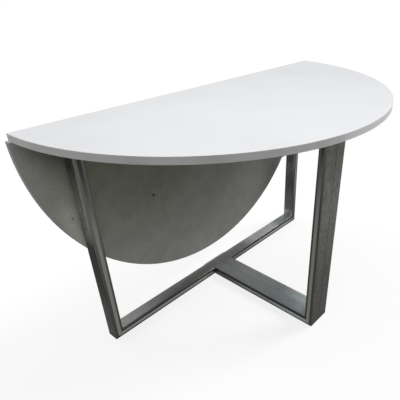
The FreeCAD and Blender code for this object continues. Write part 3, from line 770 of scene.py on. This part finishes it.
# %% Make the fittings' finishes
ZINC_BRIGHT = (0.520, 0.530, 0.545, 1.0)
ZINC_BLOOM = (0.390, 0.398, 0.405, 1.0)
ZINC_ROUGH = (0.28, 0.48)
BLOOM_PER_M = 60.0
BLOOM_FROM = (0.35, 0.70)
ZINC_GRAIN_PER_M = 900.0
ZINC_GRAIN_MM = 0.01
NYLON_BLACK = (0.022, 0.022, 0.023, 1.0)
NYLON_RUBBED = (0.050, 0.050, 0.051, 1.0)
NYLON_ROUGH = (0.48, 0.66)
RUBBED_PER_M = 45.0
RUBBED_FROM = (0.45, 0.80)
NYLON_GRAIN_PER_M = 1300.0
NYLON_GRAIN_MM = 0.04

zinc, tree, shader, place = finish_named("zinc_steel")
bloom = noise(tree, place, BLOOM_PER_M, detail=6.0, roughness=0.6)
bloomed = mask(tree, bloom, *BLOOM_FROM)
zinc_grain = noise(tree, place, ZINC_GRAIN_PER_M, detail=2.0)
fill(tree, shader.inputs["Base Color"], mix(tree, bloomed, ZINC_BRIGHT, ZINC_BLOOM))
shader.inputs["Metallic"].default_value = 1.0
fill(tree, shader.inputs["Roughness"], spread(tree, bloom, *ZINC_ROUGH))
raise_surface(tree, shader, zinc_grain, ZINC_GRAIN_MM)

nylon, tree, shader, place = finish_named("black_nylon")
rubbing = noise(tree, place, RUBBED_PER_M, detail=5.0)
rubbed = mask(tree, rubbing, *RUBBED_FROM)
nylon_grain = noise(tree, place, NYLON_GRAIN_PER_M, detail=2.0)
fill(tree, shader.inputs["Base Color"], mix(tree, rubbed, NYLON_BLACK, NYLON_RUBBED))
fill(tree, shader.inputs["Roughness"], spread(tree, rubbing, *NYLON_ROUGH))
raise_surface(tree, shader, nylon_grain, NYLON_GRAIN_MM)

slot_of = {row["node"]: row["material_slot"] for row in frame["record"]["subparts"]}
dress(zinc, [name for name in nodes if slot_of[name] == "zinc_steel"])
dress(nylon, [name for name in nodes if slot_of[name] == "black_nylon"])

# %% [markdown]
# ## Screws
#
# Five sets of screws hold the table together: button heads on the joining plates, pan heads
# up inside the rails, and countersunk wood screws in the hinges and guides. They could be
# drawn one by one, but they differ only in sizes, so one Geometry Nodes tree makes them all.
# A cone gives the head, flush or raised. Its top is lowered by the square of the distance
# from the middle, which makes a dome. A cross or a hexagon is cut out of it with a boolean.
# A cylinder gives the shank: a sine wave that turns as it goes down becomes the thread. The
# screw is then set on every seat, turned to face the right way, and given a turn of its own,
# because no two screws stop at the same angle.

# %% Write the helpers for shapes
SHARP_EDGE = math.radians(32.0)


def tree_with_inputs(name, sizes, extras):
    """A new Geometry Nodes tree, with a length input for each size and sockets of other kinds."""
    tree = bpy.data.node_groups.new(name, "GeometryNodeTree")
    tree.interface.new_socket("Geometry", in_out="OUTPUT", socket_type="NodeSocketGeometry")
    tree.interface.new_socket("Seats", in_out="INPUT", socket_type="NodeSocketGeometry")
    for size in sizes:
        tree.interface.new_socket(size, in_out="INPUT", socket_type="NodeSocketFloat")
    for extra, kind in extras.items():
        tree.interface.new_socket(extra, in_out="INPUT", socket_type="NodeSocket" + kind)
    return tree, add(tree, "NodeGroupInput").outputs


def shaped(tree, mesh, place):
    """Move every point of a mesh to a place that the nodes work out."""
    return add(tree, "GeometryNodeSetPosition", {"Geometry": mesh, "Position": place}).outputs[0]


def joined(tree, *meshes):
    join = add(tree, "GeometryNodeJoinGeometry")
    for mesh in meshes:
        tree.links.new(mesh, join.inputs[0])
    return join.outputs[0]


def lifted(tree, mesh, height):
    place = add(tree, "ShaderNodeCombineXYZ", {"Z": height}).outputs[0]
    return add(tree, "GeometryNodeTransform", {"Geometry": mesh, "Translation": place}).outputs[0]


def polar(tree):
    """A point's X, Y and Z, its distance from the Z axis and its angle round it."""
    x, y, z = axes(tree, add(tree, "GeometryNodeInputPosition").outputs[0])
    squares = math_node(tree, "MULTIPLY_ADD", x, x, math_node(tree, "MULTIPLY", y, y))
    return x, y, z, math_node(tree, "SQRT", squares), math_node(tree, "ARCTAN2", y, x)


def placed_at(tree, x, y, z, scale=1.0):
    """A point, with X and Y scaled together."""
    scaled = [math_node(tree, "MULTIPLY", length, scale) for length in (x, y)]
    return add(tree, "ShaderNodeCombineXYZ", {"X": scaled[0], "Y": scaled[1], "Z": z}).outputs[0]


def finished(tree, instances, material):
    """Make instances real, shade smooth except at sharp edges, and set the material."""
    mesh = add(tree, "GeometryNodeRealizeInstances", {"Geometry": instances}).outputs[0]
    all_smooth = {"Geometry": mesh, "Shade Smooth": True}
    smooth = add(tree, "GeometryNodeSetShadeSmooth", all_smooth, domain="FACE").outputs[0]
    angles = {"A": add(tree, "GeometryNodeInputMeshEdgeAngle").outputs[0], "B": SHARP_EDGE}
    sharp = add(tree, "FunctionNodeCompare", angles, operation="GREATER_THAN").outputs[0]
    some_sharp = {"Geometry": smooth, "Selection": sharp, "Shade Smooth": False}
    creased = add(tree, "GeometryNodeSetShadeSmooth", some_sharp, domain="EDGE").outputs[0]
    coated = add(tree, "GeometryNodeSetMaterial", {"Geometry": creased, "Material": material})
    add(tree, "NodeGroupOutput", {"Geometry": coated.outputs[0]})


shape_helpers = (tree_with_inputs, shaped, joined, lifted, polar, placed_at, finished)
print("helpers for shapes:", [helper.__name__ for helper in shape_helpers])

# %% [markdown]
# The head comes first. Its bottom lies on the seat, at height 0, and it grows upwards. Each
# drive shape goes right through the top, so that no face of it lies in the top's own plane.

# %% Shape the head
ROUND_SIDES = 32
DOME_RINGS = 5
HEXAGON_SIDES = 6
SCREW_SIZES = (
    "Head Radius", "Seat Radius", "Head Height", "Crown", "Drive Radius", "Drive Width",
    "Drive Depth", "Shank Radius", "Shank Length", "Thread Pitch", "Thread Depth",
    "Point Length",
)
SCREW_EXTRAS = {"Hexagon": "Bool", "Seed": "Int", "Metal": "Material"}

screw_tree, given = tree_with_inputs("screws", SCREW_SIZES, SCREW_EXTRAS)
tree = screw_tree
cone_inputs = {
    "Vertices": ROUND_SIDES,
    "Fill Segments": DOME_RINGS,
    "Radius Top": given["Head Radius"],
    "Radius Bottom": given["Seat Radius"],
    "Depth": given["Head Height"],
}
cone = add(tree, "GeometryNodeMeshCone", cone_inputs).outputs["Mesh"]
x, y, z, radius, angle = polar(tree)
share = math_node(tree, "POWER", math_node(tree, "DIVIDE", radius, given["Head Radius"]), 2.0)
half_way_up = math_node(tree, "MULTIPLY", given["Head Height"], 0.5)
on_top = math_node(tree, "GREATER_THAN", z, half_way_up)
drop = math_node(tree, "MULTIPLY", math_node(tree, "MULTIPLY", share, given["Crown"]), on_top)
dome = shaped(tree, cone, placed_at(tree, x, y, math_node(tree, "SUBTRACT", z, drop)))

wide = given["Drive Width"]
deep = math_node(tree, "MULTIPLY", given["Drive Depth"], 2.0)
long = math_node(tree, "MULTIPLY", given["Drive Radius"], 2.0)
hexagon_inputs = {"Vertices": HEXAGON_SIDES, "Radius": given["Drive Radius"], "Depth": deep}
hexagon = add(tree, "GeometryNodeMeshCylinder", hexagon_inputs).outputs["Mesh"]
arm_sizes = ({"X": long, "Y": wide, "Z": deep}, {"X": wide, "Y": long, "Z": deep})
cross = add(tree, "GeometryNodeMeshBoolean", operation="UNION", solver="EXACT")
for arm_size in arm_sizes:
    size = add(tree, "ShaderNodeCombineXYZ", arm_size).outputs[0]
    arm = add(tree, "GeometryNodeMeshCube", {"Size": size}).outputs["Mesh"]
    tree.links.new(arm, cross.inputs["Mesh 2"])
kinds = {"Switch": given["Hexagon"], "False": cross.outputs[0], "True": hexagon}
drive = add(tree, "GeometryNodeSwitch", kinds, input_type="GEOMETRY").outputs[0]
cut = {"Mesh 1": dome, "Mesh 2": lifted(tree, drive, given["Head Height"])}
head = add(tree, "GeometryNodeMeshBoolean", cut, operation="DIFFERENCE", solver="EXACT").outputs[0]
print("head made by", len(tree.nodes), "nodes")

# %% [markdown]
# The shank hangs below the seat and reaches a little way into the head. Its radius is pulled
# in by the thread's wave, and towards the point.

# %% Shape the shank
SHANK_SIDES = 12
ROWS_PER_TURN = 4.0
SHANK_OVERLAP_MM = 0.3
BLUNT_END = 0.15

turns = math_node(tree, "DIVIDE", given["Shank Length"], given["Thread Pitch"])
length = math_node(tree, "ADD", given["Shank Length"], SHANK_OVERLAP_MM * MM)
shank_inputs = {
    "Vertices": SHANK_SIDES,
    "Side Segments": math_node(tree, "MULTIPLY", turns, ROWS_PER_TURN),
    "Radius": given["Shank Radius"],
    "Depth": length,
}
shank = add(tree, "GeometryNodeMeshCylinder", shank_inputs).outputs["Mesh"]
x, y, z, radius, angle = polar(tree)
turned = math_node(tree, "MULTIPLY", math_node(tree, "DIVIDE", z, given["Thread Pitch"]), math.tau)
wave = math_node(tree, "SINE", math_node(tree, "ADD", turned, angle))
wave = math_node(tree, "MULTIPLY_ADD", wave, 0.5, 0.5)
inset = math_node(tree, "MULTIPLY", wave, given["Thread Depth"])
inset = math_node(tree, "DIVIDE", inset, given["Shank Radius"])
from_end = math_node(tree, "MULTIPLY_ADD", length, 0.5, z)
full = math_node(tree, "DIVIDE", from_end, given["Point Length"], clamp=True)
thinner = math_node(tree, "SUBTRACT", 1.0, inset)
thinner = math_node(tree, "MULTIPLY", thinner, spread(tree, full, BLUNT_END, 1.0))
hang = math_node(tree, "MULTIPLY_ADD", length, -0.5, SHANK_OVERLAP_MM * MM)
threaded = lifted(tree, shaped(tree, shank, placed_at(tree, x, y, z, thinner)), hang)
print("head and shank made by", len(tree.nodes), "nodes")

# %% [markdown]
# The whole screw is then copied to the seats. The way that it faces is read from each seat,
# and a random turn about its own axis follows, with a seed for each set.

# %% Put a screw on every seat
RANDOM_LOW, RANDOM_HIGH, RANDOM_SEED, RANDOM_NUMBER = 2, 3, 8, 1

facing = add(tree, "GeometryNodeInputNamedAttribute", {"Name": "facing"}, data_type="FLOAT_VECTOR")
aim = {"Vector": facing.outputs[0]}
upright = add(tree, "FunctionNodeAlignRotationToVector", aim, axis="Z").outputs[0]
turns_from = {RANDOM_LOW: 0.0, RANDOM_HIGH: math.tau, RANDOM_SEED: given["Seed"]}
chance = add(tree, "FunctionNodeRandomValue", turns_from, data_type="FLOAT")
about_z = {"Axis": (0, 0, 1), "Angle": chance.outputs[RANDOM_NUMBER]}
turn = add(tree, "FunctionNodeAxisAngleToRotation", about_z).outputs[0]
both_turns = {"Rotation": upright, "Rotate By": turn}
spun = add(tree, "FunctionNodeRotateRotation", both_turns, rotation_space="LOCAL").outputs[0]
screw = joined(tree, head, threaded)
copies = {"Points": given["Seats"], "Instance": screw, "Rotation": spun}
screws = add(tree, "GeometryNodeInstanceOnPoints", copies).outputs[0]
finished(tree, screws, given["Metal"])
print("screw tree of", len(tree.nodes), "nodes")

# %% [markdown]
# Three kinds of screw are enough. Their sizes are those of common ones: a 3.6 mm wood screw,
# an M6 button head and a 5 mm pan head.

# %% Write down the screws' sizes
WOOD = {
    "Head Radius": 3.6,
    "Seat Radius": 1.8,
    "Head Height": 1.8,
    "Crown": 0.0,
    "Drive Radius": 1.9,
    "Drive Width": 0.75,
    "Drive Depth": 1.2,
    "Shank Radius": 1.8,
    "Thread Pitch": 1.6,
    "Thread Depth": 0.5,
    "Point Length": 4.0,
}
BUTTON = {
    "Head Radius": 5.25,
    "Seat Radius": 5.25,
    "Head Height": 3.0,
    "Crown": 2.1,
    "Drive Radius": 2.0,
    "Drive Width": 1.0,
    "Drive Depth": 1.6,
    "Shank Radius": 3.0,
    "Thread Pitch": 1.0,
    "Thread Depth": 0.6,
    "Point Length": 0.8,
}
PAN = {
    "Head Radius": 5.0,
    "Seat Radius": 5.0,
    "Head Height": 3.5,
    "Crown": 1.3,
    "Drive Radius": 2.6,
    "Drive Width": 1.0,
    "Drive Depth": 1.8,
    "Shank Radius": 2.5,
    "Thread Pitch": 2.0,
    "Thread Depth": 0.7,
    "Point Length": 4.0,
}
JOINING_SCREW_MM = 12.0
MOUNTING_SCREW_MM = 22.0
HINGE_SCREW_MM = 15.0
GUIDE_SCREW_MM = 20.0
print("screw heads", [kind["Head Radius"] * 2 for kind in (WOOD, BUTTON, PAN)], "mm across")

# %% [markdown]
# A set of screws is a list of seats: points where heads meet what they hold, each with the
# way that the screw faces. Most of the places follow from the boxes of the solids, so they
# are measured from them. Both sides of the table mirror each other.

# %% Find the seats
DOWN, BACK, FRONT = (0, 0, -1), (0, 1, 0), (0, -1, 0)
BOTH = (-1, 1)
TUBE_WALL_MM = 3.0
REAR_JOINS_X_MM = (-48.0, -20.0, 20.0, 48.0)
STEM_JOINS_APART_MM = 30.0
RAIL_MOUNTS_X_MM = (140.0, 465.0)
STEM_MOUNTS_Y_MM = (22.5, -184.0)
ACROSS_HINGE_MM = (-24.0, 24.0)
FROM_HINGE_PIN_MM = (15.0, 34.0)
HINGE_PLATE_MM = 2.0
GUIDES_Y_MM = (214.5, 109.5)
GUIDE_SCREW_OFFSET_MM = 26.0


def box_mm(name):
    """The lowest corner, the middle and the highest corner of a solid."""
    low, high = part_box(name)
    return low / MM, (low + high) / 2 / MM, high / MM


sunk = WOOD["Head Height"]
pin_y, pin_z = (HINGE_MIDDLE / MM).yz
board_face = box_mm("fixed_top_backer")[0].z - HINGE_PLATE_MM + sunk
leaf_face = box_mm("drop_leaf_backer")[0].y - HINGE_PLATE_MM + sunk
hinges_x = [box_mm(place + "_hinge_pin")[1].x for place in ("left", "middle", "right")]
plate_x = [x + offset for x in hinges_x for offset in ACROSS_HINGE_MM]
plates = [box_mm(level + "_joining_plate") for level in ("lower", "upper")]
stem_plate, stem_rail = box_mm("stem_joining_plate"), box_mm("right_stem_top_rail")
stem_x, rail_y = stem_rail[1].x, box_mm("right_rear_top_rail")[1].y
rail_wall = stem_rail[2].z - TUBE_WALL_MM
bearer_x, stop = box_mm("right_bearer")[1].x, box_mm("right_bearer_stop")

rear_joins = [((x, plate[2].y, plate[1].z), BACK) for x in REAR_JOINS_X_MM for plate in plates]
stem_joins_y = [stem_plate[1].y + end * STEM_JOINS_APART_MM / 2 for end in BOTH]
stem_joins = [((side * stem_x, y, stem_plate[0].z), DOWN) for side in BOTH for y in stem_joins_y]
mount_spots = [(x, rail_y) for x in RAIL_MOUNTS_X_MM] + [(stem_x, y) for y in STEM_MOUNTS_Y_MM]
rail_mounts = [((side * x, y, rail_wall), DOWN) for side in BOTH for x, y in mount_spots]
plate_mounts = [((x, pin_y - off, board_face), DOWN) for x in plate_x for off in FROM_HINGE_PIN_MM]
leaf_mounts = [((x, leaf_face, pin_z - off), FRONT) for x in plate_x for off in FROM_HINGE_PIN_MM]
guides_x = [bearer_x + side * GUIDE_SCREW_OFFSET_MM for side in BOTH]
guide_spots = [(x, y) for x in guides_x for y in GUIDES_Y_MM]
guide_spots.append((stop[1].x, stop[1].y))
guide_mounts = [((side * x, y, stop[0].z + sunk), DOWN) for side in BOTH for x, y in guide_spots]

SCREW_SETS = {
    "joining_screws": ("base", rear_joins + stem_joins, BUTTON, JOINING_SCREW_MM, True),
    "top_mounting_screws": ("base", rail_mounts, PAN, MOUNTING_SCREW_MM, False),
    "fixed_plate_screws": ("base", plate_mounts, WOOD, HINGE_SCREW_MM - sunk, False),
    "leaf_plate_screws": ("drop_leaf", leaf_mounts, WOOD, HINGE_SCREW_MM - sunk, False),
    "guide_screws": ("base", guide_mounts, WOOD, GUIDE_SCREW_MM - sunk, False),
}
print("seats", {name: len(facts[1]) for name, facts in SCREW_SETS.items()})

# %% [markdown]
# Each seat becomes a point of a small mesh, and the way that the screw faces is stored on
# the point. The tree's inputs are set before the mesh is first worked out, and the result
# replaces the plain screws of the solids.


# %% Set the screws in their places
def seats_mesh(name, seats):
    """A mesh of loose points, each with the way that its screw faces."""
    mesh = bpy.data.meshes.new(name)
    mesh.from_pydata([Vector(point) * MM for point, facing in seats], [], [])
    stored = mesh.attributes.new("facing", "FLOAT_VECTOR", "POINT")
    for value, (point, facing) in zip(stored.data, seats):
        value.vector = facing
    return mesh


def made_by_nodes(name, mesh, tree, values):
    """Run a tree on a mesh and keep the result as a plain mesh on a plain object."""
    piece = bpy.data.objects.new(name, mesh)
    scene.collection.objects.link(piece)
    nodes_modifier = piece.modifiers.new("made", "NODES")
    nodes_modifier.node_group = tree
    for item in tree.interface.items_tree:
        if item.in_out == "INPUT" and item.name in values:
            nodes_modifier[item.identifier] = values[item.name]
    worked_out = piece.evaluated_get(bpy.context.evaluated_depsgraph_get())
    result = bpy.data.meshes.new_from_object(worked_out)
    piece.modifiers.remove(nodes_modifier)
    piece.data = result
    while result.materials[0] is None:
        result.materials.pop(index=0)
    print(name, len(result.polygons), "faces")
    return piece


def stands_for(piece, node, body):
    """Say which body a piece rides on, which solid it replaces."""
    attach(piece, body)
    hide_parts(node)


for order, (node, facts) in enumerate(SCREW_SETS.items()):
    body, seats, sizes, shank_mm, hexagonal = facts
    values = {size: length_mm * MM for size, length_mm in sizes.items()}
    values |= {"Shank Length": shank_mm * MM, "Hexagon": hexagonal, "Seed": order, "Metal": zinc}
    screw_set = made_by_nodes(node + "_made", seats_mesh(node, seats), screw_tree, values)
    stands_for(screw_set, node, body)

# %% [markdown]
# ## Knobs
#
# Each bearer has a round nylon knob under its front end, to pull it by, with shallow flutes
# that fingers can grip. A lathe shape with flutes follows a rule as well: the radius depends
# on the height, which rounds the edges, and on the angle, which cuts the flutes. So a second
# tree bends a plain cylinder by that rule.

# %% Shape the knob's grip
KNOB = {
    "Radius": 11.0,
    "Height": 12.0,
    "Rounding": 3.0,
    "Flute Depth": 0.7,
    "Neck Radius": 6.0,
    "Neck Height": 4.0,
    "Stud Radius": 2.5,
    "Stud Length": 5.0,
}
FLUTES = 14
POINTS_PER_FLUTE = 8
KNOB_ROWS = 24
KNOB_RINGS = 4

knob_tree, given = tree_with_inputs("knob", tuple(KNOB), {"Flutes": "Int", "Plastic": "Material"})
tree = knob_tree
knob_inputs = {
    "Vertices": math_node(tree, "MULTIPLY", given["Flutes"], POINTS_PER_FLUTE),
    "Side Segments": KNOB_ROWS,
    "Fill Segments": KNOB_RINGS,
    "Radius": given["Radius"],
    "Depth": given["Height"],
}
turned_knob = add(tree, "GeometryNodeMeshCylinder", knob_inputs).outputs["Mesh"]
x, y, z, radius, angle = polar(tree)
half_height = math_node(tree, "MULTIPLY", given["Height"], 0.5)
straight = math_node(tree, "SUBTRACT", half_height, given["Rounding"])
beyond = math_node(tree, "SUBTRACT", math_node(tree, "ABSOLUTE", z), straight)
beyond = math_node(tree, "DIVIDE", beyond, given["Rounding"], clamp=True)
left_over = math_node(tree, "SUBTRACT", 1.0, math_node(tree, "POWER", beyond, 2.0))
left_over = math_node(tree, "SQRT", left_over)
rounded_in = math_node(tree, "SUBTRACT", 1.0, left_over)
rounded_in = math_node(tree, "MULTIPLY", rounded_in, given["Rounding"])
flute = math_node(tree, "COSINE", math_node(tree, "MULTIPLY", angle, given["Flutes"]))
flute = math_node(tree, "MULTIPLY_ADD", flute, 0.5, 0.5)
fluted_in = math_node(tree, "MULTIPLY", flute, left_over)
fluted_in = math_node(tree, "MULTIPLY", fluted_in, given["Flute Depth"])
narrower = math_node(tree, "ADD", rounded_in, fluted_in)
narrower = math_node(tree, "DIVIDE", narrower, given["Radius"])
knob_place = placed_at(tree, x, y, z, math_node(tree, "SUBTRACT", 1.0, narrower))
grip = lifted(tree, shaped(tree, turned_knob, knob_place), half_height)
print("grip made by", len(tree.nodes), "nodes")

# %% [markdown]
# The neck, and the stud that goes up into the bearer, are plain cylinders that stand on the
# grip. A knob is set on one seat under each bearer.

# %% Add the neck and stud, and make the knobs
stud_bottom = math_node(tree, "ADD", given["Height"], given["Neck Height"])
rounds = (
    (given["Neck Radius"], given["Neck Height"], given["Height"]),
    (given["Stud Radius"], given["Stud Length"], stud_bottom),
)
stacked = [grip]
for radius, tall, bottom in rounds:
    round_inputs = {"Vertices": ROUND_SIDES, "Radius": radius, "Depth": tall}
    plain_round = add(tree, "GeometryNodeMeshCylinder", round_inputs).outputs["Mesh"]
    stacked.append(lifted(tree, plain_round, math_node(tree, "MULTIPLY_ADD", tall, 0.5, bottom)))
copies = {"Points": given["Seats"], "Instance": joined(tree, *stacked)}
one_knob = add(tree, "GeometryNodeInstanceOnPoints", copies).outputs[0]
finished(tree, one_knob, given["Plastic"])

knob_values = {size: length_mm * MM for size, length_mm in KNOB.items()}
knob_values |= {"Flutes": FLUTES, "Plastic": nylon}
for side_name in ("left_bearer", "right_bearer"):
    low, middle, high = box_mm(side_name + "_knob")
    seats = seats_mesh(side_name + "_knob", [((middle.x, middle.y, low.z), DOWN)])
    knob = made_by_nodes(side_name + "_knob_made", seats, knob_tree, knob_values)
    stands_for(knob, side_name + "_knob", side_name)

# %% [markdown]
# ## Floor and light
#
# The floor is a plain white sheet, which could be a lit plane. But a floor bright enough to
# look white also throws a lot of light up at the object. So the sheet is white where it is
# seen, and keeps a soft shadow, while the light that it throws back is that of a plain grey
# floor.

# %% Build the floor
FLOOR_HALF_M = 120.0
FLOOR_GLOW = 0.80
FLOOR_SEEN = 0.22
FLOOR_BOUNCE = 0.14


def seen_directly(tree):
    """1 for rays from the camera, from a mirror or through glass."""
    path = add(tree, "ShaderNodeLightPath").outputs
    shiny = math_node(tree, "ADD", path["Is Glossy Ray"], path["Is Transmission Ray"])
    return math_node(tree, "ADD", path["Is Camera Ray"], shiny, clamp=True)


def choose(tree, unseen, seen):
    """One shader for light that bounces, another for what is seen directly."""
    inputs = {0: seen_directly(tree), 1: unseen.outputs[0], 2: seen.outputs[0]}
    return add(tree, "ShaderNodeMixShader", inputs).outputs[0]


floor_mesh = bpy.data.meshes.new("studio_floor")
ends = ((-1, -1), (1, -1), (1, 1), (-1, 1))
corners = [(x * FLOOR_HALF_M, y * FLOOR_HALF_M, 0.0) for x, y in ends]
floor_mesh.from_pydata(corners, [], [(0, 1, 2, 3)])
floor = bpy.data.objects.new("studio_floor", floor_mesh)
scene.collection.objects.link(floor)

floor_finish = bpy.data.materials.new("studio_floor")
floor_finish.use_nodes = True
tree = floor_finish.node_tree
tree.nodes.clear()
plain = add(tree, "ShaderNodeBsdfDiffuse", {"Color": grey(FLOOR_BOUNCE)})
white = add(tree, "ShaderNodeBsdfDiffuse", {"Color": grey(FLOOR_SEEN)})
glow = add(tree, "ShaderNodeEmission", {"Color": grey(1.0), "Strength": FLOOR_GLOW})
shown = add(tree, "ShaderNodeAddShader", {0: white.outputs[0], 1: glow.outputs[0]})
add(tree, "ShaderNodeOutputMaterial", {"Surface": choose(tree, plain, shown)})
floor_mesh.materials.append(floor_finish)
floor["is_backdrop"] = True
print("floor", 2 * FLOOR_HALF_M, "m across")

# %% [markdown]
# The picture shows soft light from above: the top is bright, and faces that stand upright
# are about a third as bright. A dim sky that grows brighter upwards does most of it, with a
# wide lamp overhead. A low lamp at the front reaches under the top to the foot of the leaf,
# one at the front right gives the far end of the rim its lighter edge, and one behind
# lights the leaf's face for the views from the back. On the top they add up to about one,
# so that a colour renders as it is written.

# %% Light the table
SKY_LOW = 0.16
SKY_HIGH = 0.55
LAMPS = {
    "overhead_lamp": {"share": 0.05, "spread": 75.0, "height": 88.0, "round": 0.0, "shine": True},
    "front_lamp": {"share": 0.10, "spread": 40.0, "height": 26.0, "round": 202.0, "shine": True},
    "right_lamp": {"share": 0.55, "spread": 22.0, "height": 42.0, "round": 114.0, "shine": True},
    "rear_lamp": {"share": 0.30, "spread": 50.0, "height": 28.0, "round": 345.0, "shine": False},
}

world = bpy.data.worlds.new("studio")
scene.world = world
world.use_nodes = True
tree = world.node_tree
tree.nodes.clear()
height = axes(tree, add(tree, "ShaderNodeTexCoord").outputs["Generated"])["Z"]
sky = spread(tree, height, SKY_LOW, SKY_HIGH)
dim = add(tree, "ShaderNodeBackground", {"Color": grey(1.0), "Strength": sky})
backdrop = add(tree, "ShaderNodeBackground", {"Color": grey(1.0), "Strength": 1.0})
add(tree, "ShaderNodeOutputWorld", {"Surface": choose(tree, dim, backdrop)})

for name, facts in LAMPS.items():
    lamp = bpy.data.lights.new(name, "SUN")
    lamp.energy = facts["share"] * math.pi
    lamp.angle = math.radians(facts["spread"])
    placed = bpy.data.objects.new(name, lamp)
    up, turn = math.radians(facts["height"]), math.radians(facts["round"])
    towards = (math.cos(up) * math.sin(turn), math.cos(up) * math.cos(turn), math.sin(up))
    placed.rotation_euler = Vector(towards).to_track_quat("Z", "Y").to_euler()
    placed.visible_glossy = facts["shine"]
    scene.collection.objects.link(placed)

scene.view_settings.view_transform = "Standard"
print("sky", SKY_LOW, "to", SKY_HIGH, "and", len(LAMPS), "lamps")

# %% Measure and finish
sizes = {"cad": [list(corner) for corner in cad_box], "visual": [list(corner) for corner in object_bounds()]}
